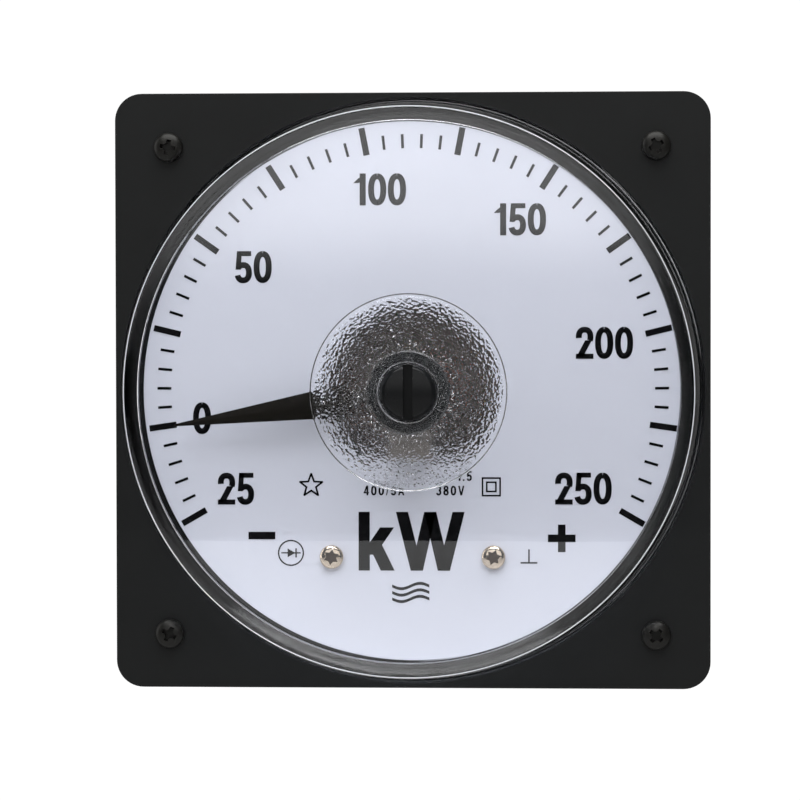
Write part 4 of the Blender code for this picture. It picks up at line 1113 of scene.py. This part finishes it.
@dataclass
class Dial:
    """The enamelled dial plate and everything printed on it."""

    radius: float = 50.0 * MM
    window: float = 16.0 * MM
    chord: float = 12.6 * MM
    hole: float = 1.3 * MM
    film: float = 0.04 * MM         # thickness of the print
    first_angle: float = -120.0
    last_angle: float = 120.0
    majors: int = 12
    parts: int = 5
    major_line: Size = (44.3 * MM, 49.4 * MM, 1.15 * MM)
    minor_line: Size = (44.8 * MM, 47.4 * MM, 0.5 * MM)
    figure_height: float = 5.9 * MM
    bars: tuple[tuple[float, ...], ...] = (     # mm: width, height, x, z of each symbol's bars
        (5.0, 1.4, -28.0, -26.9), (1.4, 5.1, 27.6, -27.3), (5.1, 1.4, 27.6, -27.3),
        (3.1, 0.28, 21.55, -31.85), (0.28, 2.5, 21.55, -30.6))
    wave_width: float = 6.9 * MM
    wave_height: float = 0.5 * MM
    figures: dict[str, Point] = field(default_factory=lambda: {
        "25": (-32.8, -18.2), "0": (-39.1, -5.1), "50": (-29.5, 22.9), "100": (-6.0, 37.2),
        "150": (19.9, 31.6), "200": (35.5, 8.8), "250": (31.6, -18.1)})

    def __post_init__(self) -> None:
        """Reads the dial's depths from the frame."""
        low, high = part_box("dial_plate")
        self.front, self.rear = low.y, high.y

    def plate(self) -> None:
        """The sheet with its window and two screw holes."""
        sheet = rod("dial_sheet", self.radius, self.front, self.rear, sides=300)
        window = rod("window", self.window, self.front - MM, self.rear + MM, sides=120)
        below = block("below", (-self.window * 2, self.front - 2 * MM, -self.window * 2),
                      (self.window * 2, self.rear + 2 * MM, -self.chord))
        cut(window, below)
        cut(sheet, window)
        for number in (1, 2):
            centre = span(f"dial_screw_{number}")[2:]
            cut(sheet, rod("hole", self.hole, self.front - MM, self.rear + MM, centre, 32))
        round_edges(sheet, 0.12 * MM, 2)
        deliver(sheet, "dial_enamel", "dial_plate")

    def print_on(self, pieces: Sequence[Object], name: str) -> None:
        """Joins printed shapes and lays them on the dial's face."""
        deliver(merge(pieces, name), "pointer_black", finish=PRINTED_INK)

    def bar(self, width: float, height: float, x: float = 0.0, z: float = 0.0) -> Object:
        """A printed bar centred on a place."""
        return block("bar", (x - width / 2, self.front - self.film, z - height / 2),
                     (x + width / 2, self.front - 0.2 * self.film, z + height / 2))

    def scale(self) -> None:
        """The long and short division lines, each turned to its own angle."""
        count = (self.majors - 1) * self.parts
        lines = []
        for step in range(count + 1):
            inner, outer, width = self.minor_line if step % self.parts else self.major_line
            angle = self.first_angle + (self.last_angle - self.first_angle) * step / count
            lines.append(move(self.bar(width, outer - inner, 0.0, (inner + outer) / 2), spin=angle))
        self.print_on(lines, "dial_scale")

    def stroke(self, shape: Sweep | Slant, height: float, x: float, z: float) -> Object:
        """One stroke of a figure.

        Args:
            shape: The stroke, in shares of the figure's height.
            height: The figure's height.
            x: The figure's left side.
            z: The figure's foot.

        Returns:
            The stroke as a thin solid.
        """
        if isinstance(shape, Slant):
            (low_x, low_z), (high_x, high_z) = shape.low, shape.high
            piece = self.bar(shape.width * height, (high_z - low_z) * height, x + low_x * height,
                             z + (low_z + high_z) / 2 * height)
            with editing(piece) as cage:
                pick_faces(cage, lambda centre, normal: normal.z > 0.5)
                bpy.ops.transform.translate(value=((high_x - low_x) * height, 0, 0))
            return piece
        ribbon = bpy.data.curves.new("stroke", "CURVE")
        ribbon.dimensions = "3D"
        ribbon.extrude = STROKE * height / 2
        points = shape.points()
        spline = ribbon.splines.new("POLY")
        spline.points.add(len(points) - 1)
        for point, (across, up) in zip(spline.points, points):
            point.co = (x + across * height, z + up * height, 0.0, 1.0)
            point.tilt = math.pi / 2
        piece = link_new("stroke", ribbon)
        piece.location = (0, self.front - self.film * 0.6, 0)
        piece.rotation_euler = (math.pi / 2, 0, 0)
        take(piece)
        bpy.ops.object.convert(target="MESH")
        piece = settle("stroke")
        modify(piece, "SOLIDIFY", thickness=self.film * 0.8, offset=0.0)
        return piece

    def figure_line(self, words: str, height: float, x: float, z: float, gap: float = 0.05) -> list[Object]:
        """A line of bold figures or letters, centred on a place.

        Args:
            words: Its characters.
            height: Their height.
            x: The line's middle.
            z: The line's middle.
            gap: The gap between them, as a share of their height.

        Returns:
            The strokes.
        """
        width = sum(GLYPH_WIDTHS[sign] for sign in words) + gap * (len(words) - 1)
        left, strokes = x - width * height / 2, []
        for sign in words:
            strokes += [self.stroke(shape, height, left, z - height / 2) for shape in GLYPHS[sign]]
            left += (GLYPH_WIDTHS[sign] + gap) * height
        return strokes

    def lettering(self) -> None:
        """The figures round the scale, the unit and the small ratings."""
        figures = []
        for words, (x, z) in self.figures.items():
            figures += self.figure_line(words, self.figure_height, x * MM, z * MM)
        self.print_on(figures, "dial_figures")
        self.print_on(self.figure_line("kW", 10.9 * MM, -0.2 * MM, -27.9 * MM, 0.0), "dial_unit")
        small = []
        for words, x, z in (("400/5A", -5.3, -18.5), ("380V", 7.0, -18.5), ("1.5", 9.6, -15.8)):
            small += self.figure_line(words, 1.8 * MM, x * MM, z * MM, 0.2)
        self.print_on(small, "dial_ratings")

    def loop(self, radius: float, line: float, x: float, z: float, sides: int = 64) -> Object:
        """A printed ring, or with few sides a hollow polygon."""
        near, far = self.front - self.film, self.front - 0.2 * self.film
        section = [(radius - line / 2, near), (radius + line / 2, near), (radius + line / 2, far),
                   (radius - line / 2, far)]
        return move(turn("loop", section, sides, closed=True), x, 0, z)

    def symbols(self) -> None:
        """Polarity, current, mounting and insulation symbols."""
        minus, plus, crossbar, *level = [self.bar(*(size * MM for size in sizes)) for sizes in self.bars]
        cut(plus, crossbar, "UNION")
        self.print_on([minus, plus, *level, *self.rectifier(-22.6 * MM, -30.1 * MM)], "dial_symbols")
        waves = [self.wave(-0.35 * MM, (-36.2 - 1.2 * number) * MM) for number in range(3)]
        self.print_on(waves, "dial_wave_lines")
        square = [move(self.loop(radius * MM, 0.42 * MM, 0, 0, 4), 14.6 * MM, 0, -17.8 * MM, 45)
                  for radius in (2.3, 1.2)]
        self.print_on([*square, *self.star(-18.8 * MM, -17.6 * MM)], "dial_insulation_marks")

    def rectifier(self, x: float, z: float) -> list[Object]:
        """A diode in a ring."""
        arrow = rod("arrow", 0.95 * MM, self.front - self.film, self.front - 0.2 * self.film, sides=3)
        move(arrow, x - 0.15 * MM, 0, z, 90)
        return [self.loop(2.3 * MM, 0.26 * MM, x, z), arrow, self.bar(3.6 * MM, 0.24 * MM, x, z),
                self.bar(0.26 * MM, 1.7 * MM, x + 0.95 * MM, z)]

    def wave(self, x: float, z: float) -> Object:
        """One wavy line."""
        ribbon = self.bar(self.wave_width, 0.55 * MM, x, z)
        with editing(ribbon, "EDGE") as cage:
            pick_edges(cage, lambda a, b: abs(a.x - b.x) > MM)
            bpy.ops.mesh.subdivide_edgering(number_cuts=28, interpolation="LINEAR")
            for vertex in cage.verts:
                share = (vertex.co.x - x) / self.wave_width
                vertex.co.z += self.wave_height * math.sin(share * math.tau)
            bmesh.update_edit_mesh(ribbon.data)
        return ribbon

    def star(self, x: float, z: float) -> list[Object]:
        """A hollow five-pointed test-voltage star."""
        reach, line = 2.2 * MM, 0.34 * MM
        waist = 0.42 * reach
        strokes = []
        for point in range(5):
            tip = math.radians(72 * point)
            for side in (-1, 1):
                dip = tip + side * math.radians(36)
                start = Vector((reach * math.sin(tip), reach * math.cos(tip)))
                end = Vector((waist * math.sin(dip), waist * math.cos(dip)))
                middle, along = (start + end) / 2, end - start
                stroke = self.bar(line, along.length + line * 0.6)
                spin = math.degrees(math.atan2(along.x, along.y))
                strokes.append(move(move(stroke, spin=spin), x + middle.x, 0, z + middle.y))
        return strokes

    def build(self) -> None:
        """Builds the plate and its print."""
        self.plate()
        self.scale()
        self.lettering()
        self.symbols()


# --- Pointer and zero adjuster ---

@dataclass
class Pointer:
    """The spear-shaped pointer: aluminium foil folded along its length."""

    rest_angle: float = -98.18
    arm: float = 2.0 * MM
    width: float = 5.0 * MM
    shoulder: float = 12.5 * MM
    taper: float = 19.0 * MM
    tip: float = 44.2 * MM
    tip_width: float = 0.4 * MM
    tail: float = 7.8 * MM
    boss: float = 3.2 * MM
    bore: float = 2.15 * MM
    fold: float = 0.55 * MM         # the ridge's rise

    def build(self) -> None:
        """Draws the blade out from its tail to its tip, folds it and sets it at zero."""
        low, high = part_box("pointer")
        front, rear = low.y, high.y
        blade = block("pointer_blade", (-self.arm / 2, front, -self.tail), (self.arm / 2, rear, self.boss))
        neck = self.shoulder - (self.width - self.arm) / 2
        with editing(blade) as cage:
            pick_faces(cage, lambda centre, normal: normal.z > 0.5)
            width, place = self.arm, self.boss
            for next_width, next_place in ((self.arm, neck), (self.width, self.shoulder),
                                           (self.width, self.taper), (self.tip_width, self.tip)):
                step = (0, 0, next_place - place)
                bpy.ops.mesh.extrude_region_move(TRANSFORM_OT_translate={"value": step})
                bpy.ops.transform.resize(value=(next_width / width, 1, 1), center_override=(0, 0, 0))
                width, place = next_width, next_place
            bpy.ops.mesh.select_all(action="SELECT")
            bpy.ops.mesh.bisect(plane_co=(0, 0, 0), plane_no=(1, 0, 0))
            for vertex in cage.verts:
                if abs(vertex.co.x) < MICRON and neck + MICRON < vertex.co.z < self.tip - MICRON:
                    vertex.co.y -= self.fold
            bmesh.update_edit_mesh(blade.data)
        cut(blade, rod("boss", self.boss, front, rear, sides=48), "UNION")
        cut(blade, rod("bore", self.bore, front - MM, rear + MM, sides=48))
        round_edges(blade, 0.06 * MM, 1, 25)
        deliver(move(blade, spin=self.rest_angle), "pointer_black", "pointer", body=Body.MOVEMENT)


@dataclass
class ZeroAdjuster:
    """The slotted knob in the middle of the cover."""

    radius: float = 5.2 * MM
    dome: float = 0.75 * MM
    dome_reach: float = 0.9         # share of the dome's fall that its curve would have at the edge
    dome_power: float = 2.2         # how flat its middle is
    edge: float = 0.5 * MM
    slot: float = 1.75 * MM
    slot_depth: float = 1.1 * MM
    drop: float = 0.4 * MM          # domed top's fall to where the slot's depth is counted from
    stem: float = 2.5 * MM
    seat: float = 2.1 * MM          # underside of the head, behind its top

    def build(self) -> None:
        """Turns the knob and cuts its slot."""
        low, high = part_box("zero_adjuster_screw")
        top = low.y
        shoulder = top + self.dome
        crown = arc((self.radius - self.edge, shoulder + self.edge), self.edge, 0, -70, 6)
        fall = self.dome * self.dome_reach
        dome = [(self.radius * share, top + fall * share ** self.dome_power)
                for share in (0.86, 0.8, 0.7, 0.6, 0.5, 0.4, 0.3, 0.2, 0.1)]
        seat, soft = top + self.seat, 0.1 * MM
        profile = [(self.stem, high.y), (self.stem, seat), (self.radius - soft, seat),
                   (self.radius, seat - soft), *crown, *dome]
        knob = turn("zero_adjuster_knob", profile, 128)
        reach = self.radius * 0.96
        floor = top + self.drop + self.slot_depth
        cut(knob, block("slot", (-self.slot / 2, top - MM, -reach), (self.slot / 2, floor, reach)))
        round_edges(knob, 0.08 * MM, 2, 40)
        deliver(knob, "adjuster_black", "zero_adjuster_screw", body=Body.ADJUSTER)


# --- Studio ---

@dataclass
class Studio:
    """White surroundings, a soft overhead light, two reflecting cards and the camera."""

    distance: float = 0.70
    azimuth: float = 3.5            # degrees to the meter's right
    elevation: float = 1.5
    roll: float = -0.1
    aim: Size = (-2.2 * MM, -7.5 * MM, -1.7 * MM)
    lens: float = 170.6
    floor_drop: float = 0.16
    surround: float = 0.17          # what the room gives everything but the camera
    white: float = 1.05             # what the camera sees of it
    beam_spread: float = 60.0

    def world(self) -> None:
        """White behind the meter, dimmer for light and reflections."""
        made = bpy.data.worlds.new("white_room")
        bpy.context.scene.world = made
        tree = blank_nodes(made)
        path = add_node(tree, "LightPath")
        level = add_node(tree, "MapRange", {"To Min": self.surround, "To Max": self.white},
                         {"Value": path.outputs["Is Camera Ray"]})
        room = add_node(tree, "Background", {"Color": (1, 1, 1, 1)},
                        {"Strength": level.outputs["Result"]})
        add_node(tree, "OutputWorld", links={"Surface": room.outputs["Background"]})

    def glow(self, name: str, strength: float, start: float, end: float) -> Material:
        """A card's light, which rises between two heights.

        Args:
            name: The material's name.
            strength: Its full strength.
            start: Height where it is dark.
            end: Height where it is full.

        Returns:
            The material.
        """
        made = bpy.data.materials.new(name)
        tree = blank_nodes(made)
        place = add_node(tree, "TexCoord").outputs["Object"]
        axes = add_node(tree, "SeparateXYZ", links={0: place})
        rise = add_node(tree, "MapRange",
                        {"From Min": start, "From Max": end, "To Min": 0.0, "To Max": strength},
                        {"Value": axes.outputs["Z"]}, interpolation_type="SMOOTHSTEP")
        light = add_node(tree, "Emission", links={"Strength": rise.outputs["Result"]})
        add_node(tree, "OutputMaterial", links={"Surface": light.outputs["Emission"]})
        return made

    def card(self, name: str, low: Sequence[float], high: Sequence[float], material: Material) -> None:
        """An upright card for reflections; the camera itself doesn't see it, and it casts no shade."""
        board = block(name, low, high)
        board.data.materials.append(material)
        board.visible_camera = False
        board.visible_diffuse = False
        board.visible_shadow = False

    def hang(self, light: bpy.types.Light, place: Sequence[float], aim: Vector, power: float) -> Object:
        """Hangs a light so that it shines along a direction, and returns its object."""
        lamp = link_new(light.name, light)
        lamp.location = place
        lamp.rotation_euler = aim.to_track_quat("-Z", "Y").to_euler()
        light.energy = power
        return lamp

    def lamp(self, name: str, place: Sequence[float], aim: Sequence[float], size: Point,
             power: float) -> None:
        """A rectangular soft light.

        Args:
            name: The light's name.
            place: Where it hangs.
            aim: What it points at.
            size: Its width and height.
            power: Its power in watts.
        """
        light = bpy.data.lights.new(name, "AREA")
        light.shape = "RECTANGLE"
        light.size, light.size_y = size
        self.hang(light, place, Vector(aim) - Vector(place), power).visible_camera = False

    def beam(self, name: str, place: Sequence[float], edge: float, power: float) -> None:
        """A sharp-edged beam from above, which lights the dial below one level.

        Args:
            name: The light's name.
            place: Where it hangs.
            edge: The level where it ends on the dial.
            power: Its power in watts.
        """
        light = bpy.data.lights.new(name, "SPOT")
        light.spot_size, light.spot_blend = math.radians(self.beam_spread), 0.0
        light.shadow_soft_size = 0.0
        rim = Vector((0.0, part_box("dial_plate")[0].y, edge)) - Vector(place)
        aim = Matrix.Rotation(math.radians(-self.beam_spread / 2), 3, "X") @ rim
        self.hang(light, place, aim, power)

    def floor(self) -> None:
        """The pale floor."""
        deselect()
        bpy.ops.mesh.primitive_plane_add(size=6, location=(0, 0, -self.floor_drop))
        sheet = settle("pale_floor")
        made = bpy.data.materials.new("pale_floor")
        tree = blank_nodes(made)
        path = add_node(tree, "LightPath")
        pale = add_node(tree, "BsdfDiffuse", {"Color": (0.8, 0.8, 0.8, 1)})
        white = add_node(tree, "Emission", {"Strength": self.white})
        mix = add_node(tree, "MixShader", links={
            0: path.outputs["Is Camera Ray"], 1: pale.outputs[0], 2: white.outputs[0]})
        add_node(tree, "OutputMaterial", links={"Surface": mix.outputs[0]})
        sheet.data.materials.append(made)

    def camera(self) -> None:
        """The camera, on a sphere round its aim."""
        turn_right, rise = math.radians(self.azimuth), math.radians(self.elevation)
        away = Vector((math.sin(turn_right) * math.cos(rise), -math.cos(turn_right) * math.cos(rise),
                       math.sin(rise)))
        lens = bpy.data.cameras.new("portrait")
        lens.lens = self.lens
        lens.sensor_width = 36.0
        lens.clip_start = 0.01
        eye = link_new("portrait", lens)
        eye.location = Vector(self.aim) + self.distance * away
        look = (-away).to_track_quat("-Z", "Y").to_matrix().to_4x4()
        eye.rotation_euler = (look @ Matrix.Rotation(math.radians(self.roll), 4, "Z")).to_euler()
        bpy.context.scene.camera = eye

    def build(self) -> None:
        """Sets up the whole studio."""
        scene = bpy.context.scene
        scene.view_settings.view_transform = "Standard"
        scene.view_settings.look = "None"
        self.world()
        self.floor()
        self.camera()
        # Each card's low and high corners, then its strength and the heights between which it rises.
        for name, low, high, glow in (
                ("low_card", (-0.45, -0.72, -0.16), (0.55, -0.70, -0.0715), (0.62, -0.5, -0.4)),
                ("high_card", (-0.45, -0.72, 0.02), (0.55, -0.70, 0.40), (1.1, 0.020, 0.050)),
                ("dark_card", (-1.2, -0.76, -0.159), (1.2, -0.75, 0.8), (0.0, 0.0, 1.0))):
            self.card(name, low, high, self.glow(name, *glow))
        self.lamp("overhead_light", (0.0, -0.19, 0.38), (0, 0, 0.01), (0.5, 0.35), 2.75)
        self.lamp("left_light", (-0.8, -0.15, 0.15), (0, 0, 0), (0.5, 0.8), 2.0)
        self.beam("lower_beam", (0.0, -2.46, 1.69), -26.6 * MM, 43.0)


# --- Assembly ---


def main() -> None:
    """Builds the studio and every sub-assembly, in order."""
    logging.basicConfig(level=logging.INFO, format="%(name)s %(message)s")
    Studio().build()
    dress_frame()
    for kind in (ClearCover, FrontFrame, RearCase, FrontScrews, RearFasteners, Dial, Pointer, ZeroAdjuster):
        assembly = kind()
        assembly.build()
        LOG.info("%s done", type(assembly).__name__)


if __name__ == "__main__":
    main()
